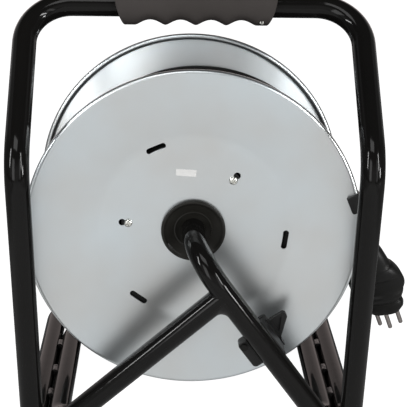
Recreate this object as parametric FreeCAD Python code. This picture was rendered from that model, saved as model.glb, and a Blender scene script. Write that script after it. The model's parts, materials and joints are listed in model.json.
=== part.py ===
import FreeCAD, Part
import math
import os

# Extension cord reel: a sheet steel drum on a bent tube stand.
# Frame: +Z up, the stand's tubes rest on Z = 0, the axle runs along Y, the winding knob
# and the sockets face +Y, and the plain side of the drum faces -Y. The origin is under
# the middle of the stand. All sizes are in millimetres.

os.makedirs("parts", exist_ok=True)
V = FreeCAD.Vector

# Stand: round steel tube
tube_d = 19.0
tube_wall = 1.5
tube_gap = 0.2            # left between two tubes that are welded side by side
stand_depth = 258.0       # front of the knees to the back of the rear floor bar
hoop_half_width = 134.6   # middle of the drum to the middle of a leg
axle_height = 175.5
knee_height = 252.7
knee_to_floor_corner = 16.2   # the legs lean forward from the floor to the knees by this
handle_height = 352.9
handle_setback = 102.3    # from the knees back to the handle bar
inner_bar_setback = 38.0  # from the rear floor bar forward to the inner one
floor_bend_r = 28.0
knee_bend_r = 45.0
handle_bend_r = 36.3
axle_bend_r = 36.0
axle_bend_setback = 7.5   # from the knees back to the line of the struts at the axle
axle_past_floor = 11.5    # free end of the axle beyond the outside of the housing floor
strut_joint_share = 0.216     # place of the welded branch along the main strut
weld_r = 3.2
weld_rise = 4.2           # middle of a runner's weld above the middle of the tubes
weld_length = 9.0
runner_weld_places = (18.0, 59.5, 107.5)   # behind the near rim
branch_weld = 1.8
bar_weld_r = 1.1
axle_plug_length = 22.0
axle_washer_r = 16.0
axle_washer_thick = 2.0
axle_bolt_r = 3.0
axle_bolt_length = 20.0
bolt_head_r = 6.0
bolt_head_height = 4.5

# Drum: two dished sheet steel flanges on a sheet steel core
flange_r = 137.5
drum_width = 133.0        # between the middles of the two rolled rims
drum_setback = 47.2       # from the knees back to the near rim
sheet = 1.0
bead_r = 2.4
dish = 9.3                # depth of the flat middle behind the rim
flat_r = 80.6
core_r = 75.0
core_sheet = 0.8
socket_opening_r = 71.0
slot_circle_r = 77.0
slot_length = 16.8
slot_width = 5.0
slot_angle = 113.5
screw_circle_r = 54.2
screw_angle = 53.5
keyhole_shift = 5.6       # from the screw out to the keyhole's wide end
keyhole_r = 3.6
flange_hole_r = 2.2

# Hub and bushes
running = 0.05            # radial clearance of a running fit
seat = 0.1                # radial clearance of a piece that is seated for good
thread_play = 0.02        # radial clearance of a screw in its thread or of a pressed pin
apart = 0.3               # gap between neighbours that move past each other
hub_rim_r = 26.7
hub_proud = 3.6
hub_barrel_r = 15.0
hub_tube_r = 17.5
hub_tube_wall = 1.5
bush_wall = 4.0
bush_flange = 4.0
bush_gap = 19.0           # left between the ends of the two bushes

# Screws as (head radius, head height, length)
flange_screw = (3.7, 2.4, 14.0)
panel_screw = (3.2, 2.0, 12.0)
grip_screw_size = (3.1, 2.0, 14.0)

# Cable and its winding
cable_d = 9.4
winding_r = 109.0
winding_side_gap = 0.6
layer_step = 8.14
layer_drop = 1.2          # further drop of the unwound part of the outer layer
tail_turn_width = 12.6
tail_rise = 1.6           # of the tail over the layer below it
tail_side_gap = 0.6
tail_places = (           # angle, outward from the tail's own turn, forward from its plane
    (138, 0.0, 0), (120, 0.0, 0), (102, 0.0, 0), (84, 1.0, 0), (66, 3.4, 0),
    (49, 9.2, 4), (34, 14.0, 15), (21, 18.0, 31), (9, 24.0, 47),
)
grommet_r = 7.5
grommet_lip = 2.5
lead_angle = 33.0
lead_setback = 38.0       # from the near flange's flat to the cable's way in
lead_inset = 24.5         # from the housing's outside in to the cable's way through its floor
lead_bend_r = 14.0

# Socket side
housing_r = 69.5
housing_wall = 2.0
housing_floor = 2.5
housing_depth = 43.4      # from the far flange's flat to the outside of the housing floor
post_r = 5.5
post_bore_r = 1.7
post_bore_depth = 24.0
panel_boss_r = 4.2
panel_screw_r = 1.4
panel_screw_hole_r = 1.9
panel_screw_depth = 14.0
panel_r = 78.0
panel_thick = 3.2
panel_rim = 2.0
panel_rim_width = 4.0
socket_count = 4
socket_ring_r = 40.0
insert_across = 38.0      # along the ring
insert_radial = 30.0
insert_depth = 22.0
insert_lip = 1.5
insert_lip_thick = 1.6
well_across = 34.0
well_radial = 17.0
well_depth = 9.0
hole_r = 2.2
hole_pitch = 9.5
earth_shift = 5.0
contact_r = 3.2
contact_length = 10.0
lid_across = 40.0
lid_radial = 34.0
lid_height = 4.2
lid_wall = 1.8
hinge_out = 20.5          # hinge line beyond the socket's middle
hinge_rise = 4.3          # hinge line above the panel's face
hinge_lug_r = 3.0
spring_gap = 14.0         # room for the spring in the middle of the lid's knuckle
spring_wire_r = 0.35
spring_turns = 8
hinge_pin_r = 1.25
knuckle_r = 2.6
lug_width = 3.2
panel_screw_inset = 6.5   # from the housing's outside in to a panel screw
cutout_r = 6.0            # threaded neck of the thermal cut-out
cutout_proud = 3.4
cutout_body = (18.0, 21.0, 14.0)
cutout_nut_r = 9.7
cutout_nut_thick = 2.4
button_r = 4.0
button_travel = 2.5
button_rest = 1.2         # of the button above the neck when it is pressed
terminal_half_width = 10.0
terminal_length = 16.0
terminal_below = 4.2
terminal_above = 11.8
terminal_clear = 9.0      # from the outside of the housing floor

# Winding knob
knob_ring_r = 119.5
knob_angle = 256.0
knob_r = 12.5
knob_length = 31.0
knob_boss_r = 10.0
knob_boss_height = 7.0
knob_bolt_r = 3.0
knob_collar = 2.0         # collar at the bolt's end, inside the knob
knob_collar_thick = 2.5
knob_nut_r = 5.2
knob_nut_thick = 2.4

# Grip
grip_length = 122.0
grip_offset = 2.6
grip_half_thick = 13.5
grip_top = 12.5
grip_tooth = 6.1          # below the tube
grip_scallop = 4.9
grip_scallop_pitch = 24.6
grip_end_slant = 5.6
grip_corner_r = 10.0
grip_screw_r = 1.9
grip_screw_inset = 7.5
grip_screw_sink = 4.5
grip_screw_rise = 4.0     # above the grip's lowest line
grip_sink_r = 3.4
grip_split = 0.1          # half of the gap between the halves

# Drum brake on the strut
brake_place = 102.4       # along the strut from the axle's line
brake_top = 12.5          # from its middle up the strut
brake_foot = 17.0         # from its middle down the strut
brake_block_top = 14.0    # the same two for the block on the left of the strut
brake_block_foot = 13.0
brake_block_round = 3.5
brake_right = 10.6
brake_left = 18.0
brake_back = 14.5
brake_pivot_back = 20.5
brake_pivot_right = 7.0
brake_pin_r = 1.5
brake_wing_reach = 26.5
brake_wing_thick = 4.0
brake_knuckle_r = 3.8
brake_ear = 4.6
saddle_screw_r = 1.6
saddle_screw_left = 14.0
saddle_screw_up = 9.5

# Clip on the near rim
clip_angle = 14.0
clip_across = 15.6
clip_inner_r = 129.4
clip_outer_r = 141.0
clip_front = 3.4
clip_back = 4.2

# Label place
label_x = -6.3
label_up = 50.1
label_width = 16.5
label_height = 5.6
label_thick = 0.15

# Plug: distances are behind its front face, then half-widths and half-thicknesses
pin_r = 2.0
pin_length = 19.0
pin_root = 5.0            # held inside the collar
pin_root_r = 1.8
pin_pitch = 9.5
plug_x = 178.6            # middle of its front face
plug_behind_rim = 60.3
plug_below_axle = 99.9
plug_roll = -17.0         # of the row of pins about the plug's own axis
plug_collar_depth = 7.0
plug_collar_size = (17.5, 8.6)
plug_sizes = ((7.0, 16.5, 8.2), (13.0, 19.0, 10.5), (20.0, 24.0, 12.0), (32.0, 25.0, 12.6),
              (44.0, 22.5, 12.0), (52.0, 17.2, 11.0))
plug_body_depth = 56.0
relief_straight = 16.0
relief_bent = 18.0
plug_lead = 26.0          # straight cable before the relief
relief_sizes = ((15.6, 10.2), (13.6, 9.4), (9.6, 8.0), (6.2, 6.1))

# Places that follow from the sizes above
tube_r = tube_d / 2
knee_y = -stand_depth / 2 + tube_r
corner_y = knee_y + knee_to_floor_corner
handle_y = knee_y + handle_setback
rear_bar_y = stand_depth / 2 - tube_r
inner_bar_y = rear_bar_y - inner_bar_setback
floor_z = tube_r
strut_x = hoop_half_width - tube_d - tube_gap
axle_line_y = knee_y + axle_bend_setback
near_y = knee_y + drum_setback
far_y = near_y + drum_width
near_flat = near_y + dish           # outer face of the near flange's flat
far_flat = far_y - dish             # outer face of the far flange's flat
housing_back = far_flat - housing_depth            # outside of the housing floor
axle_end_y = housing_back + axle_past_floor
bush_length = (housing_back - near_flat - bush_gap) / 2
panel_screw_ring_r = housing_r - panel_screw_inset
lead_ring_r = housing_r - lead_inset
cone_r = flange_r - 2 * bead_r      # where the cone meets the rolled rim
axle = V(0, 0, axle_height)
along_y = V(0, 1, 0)


def save(shape, node):
    shape.exportStep("parts/%s.step" % node)
    solids = shape.Solids
    print("%-20s solids %2d  volume %9.1f  valid %s" % (
        node, len(solids), shape.Volume, shape.isValid()))


def group(shapes):
    return Part.makeCompound(shapes)


def spot(radius, angle, y):
    """A point at a radius and angle round the axle, seen with +X right and +Z up."""
    a = math.radians(angle)
    return V(radius * math.cos(a), y, axle_height + radius * math.sin(a))


def lathe(profile):
    """A solid turned about the axle from a closed outline of (radius, y) points."""
    points = [V(r, y, axle_height) for r, y in profile]
    outline = Part.makePolygon(points + [points[0]])
    return Part.Face(outline).revolve(axle, along_y, 360)


def rod(start, end, radius):
    return Part.makeCylinder(radius, (end - start).Length, start, end - start)


def rod_y(radius, y0, y1, place):
    return Part.makeCylinder(radius, y1 - y0, V(place.x, y0, place.z), along_y)


def box(x0, x1, y0, y1, z0, z1):
    return Part.makeBox(x1 - x0, y1 - y0, z1 - z0, V(x0, y0, z0))


def turned(shape, angle):
    """A copy turned about the axle, from +X towards +Z."""
    copy = shape.copy()
    copy.rotate(axle, along_y, -angle)
    return copy


def bent_path(points, radii):
    """Straight runs joined by tangent arcs, one radius for each inner point."""
    edges = []
    start = points[0]
    for before, corner, after, radius in zip(points, points[1:], points[2:], radii):
        back = (before - corner).normalize()
        on = (after - corner).normalize()
        half = back.getAngle(on) / 2
        cut = radius / math.tan(half)
        first = corner + back * cut
        last = corner + on * cut
        middle_way = (back + on).normalize()
        middle = corner + middle_way * (radius / math.sin(half) - radius)
        edges.append(Part.LineSegment(start, first).toShape())
        edges.append(Part.Arc(first, middle, last).toShape())
        start = last
    edges.append(Part.LineSegment(start, points[-1]).toShape())
    return Part.Wire(edges)


def swept(path, radius):
    first = path.OrderedEdges[0]
    at = first.valueAt(first.FirstParameter)
    way = first.tangentAt(first.FirstParameter)
    circle = Part.Wire(Part.makeCircle(radius, at, way))
    return path.makePipeShell([circle], True, False)


def bent_tube(points, radii):
    path = bent_path(points, radii)
    solid = swept(path, tube_r)
    hollow = swept(path, tube_r - tube_wall)
    return solid.cut(hollow)


# Stand: one tube makes the handle, the legs, the outer runners and the rear floor bar

def hoop_points(side):
    return [
        V(side * hoop_half_width, rear_bar_y, floor_z),
        V(side * hoop_half_width, corner_y, floor_z),
        V(side * hoop_half_width, knee_y, knee_height),
        V(side * hoop_half_width, handle_y, handle_height),
    ]


joint_half_gap = tube_gap / 2
hoop_route = [V(joint_half_gap, rear_bar_y, floor_z)] + hoop_points(1)
hoop_route += list(reversed(hoop_points(-1))) + [V(-joint_half_gap, rear_bar_y, floor_z)]
hoop_radii = [floor_bend_r, floor_bend_r, knee_bend_r, handle_bend_r]
hoop_radii += list(reversed(hoop_radii))
hoop_tube = bent_tube(hoop_route, hoop_radii)
save(hoop_tube, "hoop_tube")

# The main strut is the axle, bent down to the right floor corner and back along the floor
strut_top = V(0, axle_line_y, axle_height)
strut_foot = V(strut_x, corner_y, floor_z)
main_route = [V(0, axle_end_y, axle_height), strut_top, strut_foot,
              V(strut_x, inner_bar_y, floor_z), V(joint_half_gap, inner_bar_y, floor_z)]
main_strut = bent_tube(main_route, [axle_bend_r, floor_bend_r, floor_bend_r])
save(main_strut, "main_strut_tube")

# The branch strut is welded to the main strut and mirrors its foot
strut_way = (strut_foot - strut_top).normalize()
branch_start = strut_top + (strut_foot - strut_top) * strut_joint_share
branch_foot = V(-strut_x, corner_y, floor_z)
branch_way = (branch_foot - branch_start).normalize()
branch_route = [branch_start, branch_foot, V(-strut_x, inner_bar_y, floor_z),
                V(-joint_half_gap, inner_bar_y, floor_z)]
main_core = rod(strut_top + strut_way * 10, strut_foot, tube_r + tube_gap / 2)
branch_strut = bent_tube(branch_route, [floor_bend_r, floor_bend_r]).cut(main_core)
branch_strut = max(branch_strut.Solids, key=lambda s: s.Volume)
save(branch_strut, "branch_strut_tube")


def bead_round_branch():
    """The fillet of weld metal where the branch meets the main strut."""
    main_fat = rod(strut_top + strut_way * 10, strut_foot, tube_r + branch_weld)
    main_thin = rod(strut_top + strut_way * 5, strut_foot, tube_r + tube_gap / 4)
    reach = branch_start + branch_way * 40
    branch_fat = rod(branch_start, reach, tube_r + branch_weld)
    branch_thin = rod(branch_start, reach, tube_r + tube_gap / 4)
    bead = main_fat.common(branch_fat).cut(main_thin).cut(branch_thin)
    return max(bead.Solids, key=lambda s: s.Volume)


def runner_bead(side, y):
    """A short bead in the groove between an outer and an inner runner."""
    x = side * (hoop_half_width - tube_r - tube_gap / 2)
    bead = Part.makeCylinder(weld_r, weld_length, V(x, y - weld_length / 2, floor_z + weld_rise), along_y)
    for tube_x in (hoop_half_width, strut_x):
        bead = bead.cut(Part.makeCylinder(tube_r, weld_length + 2,
                        V(side * tube_x, y - weld_length / 2 - 1, floor_z), along_y))
    return max(bead.Solids, key=lambda s: s.CenterOfMass.z)


def butt_bead(y):
    """The ring of weld round the joint in the middle of a floor bar."""
    ring = Part.makeTorus(tube_r, bar_weld_r, V(0, y, floor_z), V(1, 0, 0))
    cores = Part.makeCylinder(tube_r, 10, V(-5, y, floor_z), V(1, 0, 0))
    below = box(-5, 5, y - 20, y + 20, -5, 0.05)
    return ring.cut(cores).cut(below)


save(bead_round_branch(), "branch_weld")
beads = [runner_bead(side, near_y + place) for side in (1, -1) for place in runner_weld_places]
save(group(beads), "runner_welds")
save(group([butt_bead(rear_bar_y), butt_bead(inner_bar_y)]), "floor_bar_welds")

# Axle end: a plug in the tube takes the bolt that holds the drum on
axle_bore_r = tube_r - tube_wall
axle_plug = rod_y(axle_bore_r - seat / 2, axle_end_y - axle_plug_length, axle_end_y, axle)
axle_plug = axle_plug.cut(rod_y(axle_bolt_r, axle_end_y - axle_plug_length - 1, axle_end_y + 1, axle))
save(axle_plug, "axle_plug")
washer_y = axle_end_y + apart
washer_back = washer_y + axle_washer_thick
axle_washer = rod_y(axle_washer_r, washer_y, washer_back, axle)
axle_washer = axle_washer.cut(rod_y(axle_bolt_r + seat, washer_y - 1, washer_back + 1, axle))
save(axle_washer, "axle_washer")
hexagon = Part.makePolygon([spot(bolt_head_r, 60 * k, washer_back) for k in range(7)])
bolt_head = Part.Face(hexagon).extrude(V(0, bolt_head_height, 0))
axle_bolt = bolt_head.fuse(rod_y(axle_bolt_r - thread_play, axle_end_y - axle_bolt_length, washer_back, axle))
save(axle_bolt.removeSplitter(), "axle_bolt")


# Drum flanges

def flange(rim_y, flat_y, inner_r):
    """A dished flange with a rolled rim. The sheet lies on the winding's side of flat_y."""
    inward = 1 if flat_y > rim_y else -1
    slope_angle = math.atan2(dish, cone_r + bead_r - flat_r)
    step = sheet * inward
    skew = sheet * math.tan(slope_angle / 2)
    mid_r = cone_r + bead_r
    profile = [
        (inner_r, flat_y), (flat_r, flat_y), (mid_r, rim_y),
        (mid_r, rim_y + step / math.cos(slope_angle)),
        (flat_r + skew, flat_y + step), (inner_r, flat_y + step),
    ]
    bead = Part.makeTorus(flange_r - bead_r, bead_r, V(0, rim_y, axle_height), along_y)
    return lathe(profile).fuse(bead).removeSplitter()


def tangent_slot(angle, y0, y1):
    """A straight slot across the radius at the slot circle."""
    half = slot_length / 2 - slot_width / 2
    middle = box(slot_circle_r - slot_width / 2, slot_circle_r + slot_width / 2,
                 y0, y1, axle_height - half, axle_height + half)
    ends = [Part.makeCylinder(slot_width / 2, y1 - y0, V(slot_circle_r, y0, axle_height + s), along_y)
            for s in (half, -half)]
    return turned(middle.fuse(ends), angle)


near_flange = flange(near_y, near_flat, hub_barrel_r + seat)
for k in range(3):
    near_flange = near_flange.cut(tangent_slot(slot_angle + 120 * k, near_flat - 1, near_flat + 3))
    out = spot(screw_circle_r + keyhole_shift, screw_angle + 120 * k, 0)
    hole = spot(screw_circle_r, screw_angle + 120 * k, 0)
    near_flange = near_flange.cut(rod_y(keyhole_r, near_flat - 1, near_flat + 3, out))
    near_flange = near_flange.cut(rod_y(flange_hole_r, near_flat - 1, near_flat + 3, hole))
save(near_flange, "near_flange")

far_flange = flange(far_y, far_flat, socket_opening_r)
knob_at = spot(knob_ring_r, knob_angle, 0)
far_flange = far_flange.cut(rod_y(knob_bolt_r + seat, far_flat - 5, far_y + 5, knob_at))
save(far_flange, "far_flange")

core_y0 = near_flat + sheet
core_y1 = far_flat - sheet
winding_core = rod_y(core_r, core_y0, core_y1, axle)
winding_core = winding_core.cut(rod_y(core_r - core_sheet, core_y0 - 1, core_y1 + 1, axle))
lead_y = near_flat + lead_setback
lead_hole = rod(spot(core_r - 8, lead_angle, lead_y), spot(core_r + 4, lead_angle, lead_y), grommet_r)
winding_core = winding_core.cut(lead_hole)
save(winding_core, "winding_core")

# Rubber grommet where the cable goes in through the core, below the first layer
lip_r = grommet_r + grommet_lip
lip_top = math.sqrt((core_r - core_sheet) ** 2 - lip_r ** 2) - seat
grommet = rod(spot(lip_top - grommet_lip, lead_angle, lead_y), spot(lip_top, lead_angle, lead_y), lip_r)
neck = rod(spot(lip_top - 1, lead_angle, lead_y), spot(core_r - core_sheet / 2, lead_angle, lead_y),
           grommet_r - seat)
grommet = grommet.fuse(neck)
grommet = grommet.cut(rod(spot(lip_top - 8, lead_angle, lead_y), spot(core_r + 8, lead_angle, lead_y),
                          cable_d / 2 + seat))
save(grommet.removeSplitter(), "core_grommet")


# Hub: a dished plastic bush in the near flange, a steel tube, and a bush in the housing

hub_face = near_flat - hub_proud
near_bush = lathe([
    (tube_r + running, near_flat + 2.0), (13.0, near_flat + 1.2), (18.5, near_flat - 1.0),
    (23.6, hub_face + 0.9), (24.8, hub_face), (hub_rim_r - 0.9, hub_face), (hub_rim_r, hub_face + 0.9),
    (hub_rim_r, near_flat - 0.02), (hub_barrel_r, near_flat - 0.02),
    (hub_barrel_r, near_flat + bush_length), (tube_r + running, near_flat + bush_length),
])
save(near_bush, "near_bush")

boss_back = housing_back - bush_length
far_bush_r = tube_r + bush_wall
far_flange_r = far_bush_r + bush_flange
far_bush = lathe([
    (tube_r + running, boss_back), (far_bush_r, boss_back),
    (far_bush_r, housing_back + housing_floor), (far_flange_r, housing_back + housing_floor),
    (far_flange_r, axle_end_y), (tube_r + running, axle_end_y),
])
save(far_bush, "far_bush")

hub_tube_y0 = near_flat + sheet
hub_tube = rod_y(hub_tube_r, hub_tube_y0, boss_back, axle)
hub_tube = hub_tube.cut(rod_y(hub_tube_r - hub_tube_wall, hub_tube_y0 - 1, boss_back + 1, axle))
save(hub_tube, "hub_tube")

# Socket housing: a plastic cup in the core, with a boss for the bush and three screw posts
housing = rod_y(housing_r, housing_back, far_flat, axle)
housing = housing.cut(rod_y(housing_r - housing_wall, housing_back + housing_floor, far_flat + 1, axle))
housing = housing.fuse(rod_y(far_flange_r, boss_back, housing_back + 1, axle))
for k in range(3):
    post = spot(screw_circle_r, screw_angle + 120 * k, 0)
    housing = housing.fuse(rod_y(post_r, near_flat + sheet, housing_back + 1, post))
for k in range(4):
    boss = spot(panel_screw_ring_r, 45 + 90 * k, 0)
    housing = housing.fuse(rod_y(panel_boss_r, housing_back + 1, far_flat, boss))
housing = housing.cut(rod_y(far_bush_r + seat / 2, boss_back - 1, far_flat, axle))
for k in range(3):
    post = spot(screw_circle_r, screw_angle + 120 * k, 0)
    housing = housing.cut(rod_y(post_bore_r, near_flat, near_flat + post_bore_depth, post))
for k in range(4):
    boss = spot(panel_screw_ring_r, 45 + 90 * k, 0)
    housing = housing.cut(rod_y(panel_screw_r, far_flat - panel_screw_depth, far_flat + 1, boss))
lead_in = spot(lead_ring_r, lead_angle, 0)
housing = housing.cut(rod_y(cable_d / 2 + 0.5, housing_back - 1, housing_back + 4, lead_in))
housing = housing.removeSplitter()
save(housing, "socket_housing")

# Screws that hold the near flange on the posts
def pan_screw(place, seat_y, way, shank_r, head_r, head_h, length):
    """A cross-slotted pan head screw. way is +1 where the head faces -Y."""
    base = V(place.x, seat_y, place.z)
    head = Part.makeCylinder(head_r, head_h, base, V(0, -way, 0))
    rim = [e for e in head.Edges if abs(e.CenterOfMass.y - (seat_y - way * head_h)) < 0.01]
    head = head.makeFillet(head_h * 0.45, rim)
    shank = Part.makeCylinder(shank_r, length, base, V(0, way, 0))
    screw = head.fuse(shank)
    top = seat_y - way * head_h
    for a in (0, 90):
        cross = Part.makeBox(head_r * 1.1, head_h * 0.9, head_h * 0.32,
                             V(place.x - head_r * 0.55, top - head_h * 0.45, place.z - head_h * 0.16))
        cross.rotate(V(place.x, top, place.z), along_y, a + 20)
        screw = screw.cut(cross)
    return screw.removeSplitter()


flange_screws = []
for k in range(3):
    place = spot(screw_circle_r, screw_angle + 120 * k, 0)
    flange_screws.append(pan_screw(place, near_flat, 1, post_bore_r - thread_play, *flange_screw))
save(group(flange_screws), "flange_screws")


# Socket panel, seen from +Y

insert_half = insert_across / 2
panel_face = far_flat + panel_thick
hinge_r = socket_ring_r + hinge_out
hinge_y = panel_face + hinge_rise
lug_in = lid_across / 2 - lug_width
panel = rod_y(panel_r, far_flat, panel_face, axle)
rim = rod_y(panel_r, panel_face - 1, panel_face + panel_rim, axle)
rim = rim.cut(rod_y(panel_r - panel_rim_width, panel_face - 2, panel_face + 5, axle))
panel = panel.fuse(rim)
hinge_pin_hole = hinge_pin_r + thread_play
for k in range(socket_count):
    for side in (1, -1):
        inner = side * lug_in
        outer = side * lid_across / 2
        lug = box(hinge_r - hinge_lug_r, hinge_r + hinge_lug_r, panel_face - 1, hinge_y,
                  axle_height + min(inner, outer), axle_height + max(inner, outer))
        top = Part.makeCylinder(hinge_lug_r, lug_width,
                                V(hinge_r, hinge_y, axle_height + min(inner, outer)), V(0, 0, 1))
        panel = panel.fuse(turned(lug.fuse(top), 90 * k))
    pin_hole = Part.makeCylinder(hinge_pin_hole, lid_across + 2,
                                 V(hinge_r, hinge_y, axle_height - lid_across / 2 - 1), V(0, 0, 1))
    panel = panel.cut(turned(pin_hole, 90 * k))
    half_radial = insert_radial / 2 + seat
    half_across = insert_half + seat
    window = box(socket_ring_r - half_radial, socket_ring_r + half_radial, far_flat - 1, panel_face + 1,
                 axle_height - half_across, axle_height + half_across)
    panel = panel.cut(turned(window, 90 * k))
    screw_hole = spot(panel_screw_ring_r, 45 + 90 * k, 0)
    panel = panel.cut(rod_y(panel_screw_hole_r, far_flat - 1, panel_face + 1, screw_hole))
panel = panel.cut(rod_y(cutout_r + seat, far_flat - 1, panel_face + 1, axle))
panel = panel.removeSplitter()
save(panel, "socket_panel")


def well_outline(y, half_across, half_radial):
    """The long six-sided recess of a socket, lying along the ring at angle 0."""
    c = socket_ring_r
    point = half_across
    flat = half_across - half_radial * 0.72
    corners = [(0, point), (half_radial, flat), (half_radial, -flat), (0, -point),
               (-half_radial, -flat), (-half_radial, flat)]
    points = [V(c + r, y, axle_height + t) for r, t in corners]
    return Part.Face(Part.makePolygon(points + [points[0]]))


def socket_holes():
    """Middles of the three holes as (radial shift, shift along the ring)."""
    return [(0.0, hole_pitch), (0.0, -hole_pitch), (-earth_shift, 0.0)]


def socket_insert():
    c = socket_ring_r
    front = panel_face + insert_lip_thick
    body = box(c - insert_radial / 2, c + insert_radial / 2, front - insert_depth,
               front, axle_height - insert_half, axle_height + insert_half)
    lip = box(c - insert_radial / 2 - insert_lip, c + insert_radial / 2 + insert_lip, panel_face,
              panel_face + insert_lip_thick, axle_height - insert_half - insert_lip + 0.6,
              axle_height + insert_half + insert_lip - 0.6)
    well = well_outline(front + 1, well_across / 2, well_radial / 2).extrude(V(0, -well_depth - 1, 0))
    insert = body.fuse(lip).cut(well)
    for radial, along in socket_holes():
        hole = Part.makeCylinder(hole_r, insert_depth + 2,
                                 V(c + radial, front - insert_depth - 1, axle_height + along), along_y)
        insert = insert.cut(hole)
    return insert.removeSplitter()


def socket_contacts():
    """Spring sleeves behind the three holes, seated against the back of the insert."""
    sleeves = []
    back = panel_face + insert_lip_thick - insert_depth
    for radial, along in socket_holes():
        at = V(socket_ring_r + radial, back - seat - contact_length, axle_height + along)
        sleeve = Part.makeCylinder(contact_r, contact_length, at, along_y)
        bore = Part.makeCylinder(pin_r + running, contact_length, at + V(0, 3, 0), along_y)
        sleeves.append(sleeve.cut(bore))
    return sleeves


def socket_lid():
    """A shallow box lid with a knuckle at its outer edge and a thumb lip at its inner one."""
    c = socket_ring_r
    y0 = panel_face + insert_lip_thick + apart
    y1 = y0 + lid_height
    inner_edge = c - lid_radial / 2
    outer_edge = hinge_r - hinge_lug_r - apart
    half = lid_across / 2
    shell = box(inner_edge, outer_edge, y0, y1, axle_height - half, axle_height + half)
    upright = [e for e in shell.Edges if abs(e.Vertexes[0].Y - e.Vertexes[-1].Y) > 1 and e.CenterOfMass.x < c]
    shell = shell.makeFillet(4.0, upright)
    top_edges = [e for e in shell.Edges if e.BoundBox.YMin > y1 - 0.01]
    shell = shell.makeFillet(1.2, top_edges)
    hollow = box(inner_edge + lid_wall, outer_edge - lid_wall, y0 - 1, y1 - lid_wall,
                 axle_height - half + lid_wall, axle_height + half - lid_wall)
    shell = shell.cut(hollow)
    thumb = box(inner_edge - 2.4, inner_edge + 1, y0 + 0.6, y0 + 2.4, axle_height - 7, axle_height + 7)
    shell = shell.fuse(thumb)
    reach = lug_in - apart
    arm = box(outer_edge - 1.5, hinge_r, hinge_y - knuckle_r * 0.6, hinge_y + knuckle_r * 0.6,
              axle_height - reach, axle_height + reach)
    knuckle = Part.makeCylinder(knuckle_r, 2 * reach, V(hinge_r, hinge_y, axle_height - reach), V(0, 0, 1))
    lid = shell.fuse([arm, knuckle])
    lid = lid.cut(Part.makeCylinder(hinge_pin_r + running, 2 * reach + 2,
                                    V(hinge_r, hinge_y, axle_height - reach - 1), V(0, 0, 1)))
    notch = box(hinge_r - knuckle_r - seat, hinge_r + knuckle_r + 1,
                hinge_y - knuckle_r - 1, hinge_y + knuckle_r + 1,
                axle_height - spring_gap / 2, axle_height + spring_gap / 2)
    return lid.cut(notch).removeSplitter()


def lid_spring():
    """A torsion spring of close turns round the hinge pin, in the gap of the lid's knuckle."""
    pitch = 2 * spring_wire_r * 1.15
    height = spring_turns * pitch
    helix = Part.makeHelix(pitch, height, hinge_pin_r + spring_wire_r + seat)
    start = helix.Edges[0].valueAt(helix.Edges[0].FirstParameter)
    way = helix.Edges[0].tangentAt(helix.Edges[0].FirstParameter)
    section = Part.Wire(Part.makeCircle(spring_wire_r, start, way))
    coil = Part.Wire(helix.Edges).makePipeShell([section], True, True)
    coil.translate(V(hinge_r, hinge_y, axle_height - height / 2))
    return coil


insert_base = socket_insert()
lid_base = socket_lid()
spring_base = lid_spring()
pin_foot = V(hinge_r, hinge_y, axle_height - lid_across / 2)
hinge_pin = Part.makeCylinder(hinge_pin_r, lid_across, pin_foot, V(0, 0, 1))
contacts = []
for k in range(socket_count):
    save(turned(insert_base, 90 * k), "socket_insert_%d" % (k + 1))
    save(turned(lid_base, 90 * k), "socket_lid_%d" % (k + 1))
    contacts += [turned(c, 90 * k) for c in socket_contacts()]
save(group([turned(hinge_pin, 90 * k) for k in range(socket_count)]), "lid_hinge_pins")
save(group([turned(spring_base, 90 * k) for k in range(socket_count)]), "lid_springs")
save(group(contacts), "socket_contacts")
panel_screws = [pan_screw(spot(panel_screw_ring_r, 45 + 90 * k, 0), panel_face, -1,
                          panel_screw_r - thread_play, *panel_screw)
                for k in range(4)]
save(group(panel_screws), "panel_screws")

# Thermal cut-out in the middle of the panel
cutout_top = panel_face + cutout_proud
cutout_wide, cutout_deep, cutout_high = cutout_body
cutout = box(-cutout_wide / 2, cutout_wide / 2, far_flat - cutout_deep, far_flat,
             axle_height - cutout_high / 2, axle_height + cutout_high / 2)
cutout = cutout.fuse(rod_y(cutout_r, far_flat - 2, cutout_top, axle))
button_foot = far_flat - 5.2
cutout = cutout.cut(rod_y(button_r + running, button_foot - button_travel - apart, cutout_top + 1, axle))
save(cutout.removeSplitter(), "thermal_cutout")
nut_outline = Part.makePolygon([spot(cutout_nut_r, 60 * k, panel_face) for k in range(7)])
cutout_nut = Part.Face(nut_outline).extrude(V(0, cutout_nut_thick, 0))
cutout_nut = cutout_nut.cut(rod_y(cutout_r + thread_play, panel_face - 1, panel_face + 5, axle))
save(cutout_nut, "cutout_nut")
button_top = cutout_top + button_travel + button_rest
button = rod_y(button_r, button_foot, button_top, axle)
button = button.makeFillet(0.9, [e for e in button.Edges if abs(e.CenterOfMass.y - button_top) < 0.01])
save(button, "reset_button")

# Inside the housing: the cable's lead and the terminal block
terminal_front = housing_back + terminal_clear
terminal = box(lead_in.x - terminal_half_width, lead_in.x + terminal_half_width,
               terminal_front, terminal_front + terminal_length,
               lead_in.z - terminal_below, lead_in.z + terminal_above)
save(terminal, "terminal_block")
lead_bend = V(lead_in.x, lead_y, lead_in.z)
lead_path = bent_path([spot(core_r - 0.3, lead_angle, lead_y), lead_bend,
                       V(lead_in.x, terminal_front, lead_in.z)], [lead_bend_r])
save(swept(lead_path, cable_d / 2 - 0.1), "inner_lead")

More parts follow.
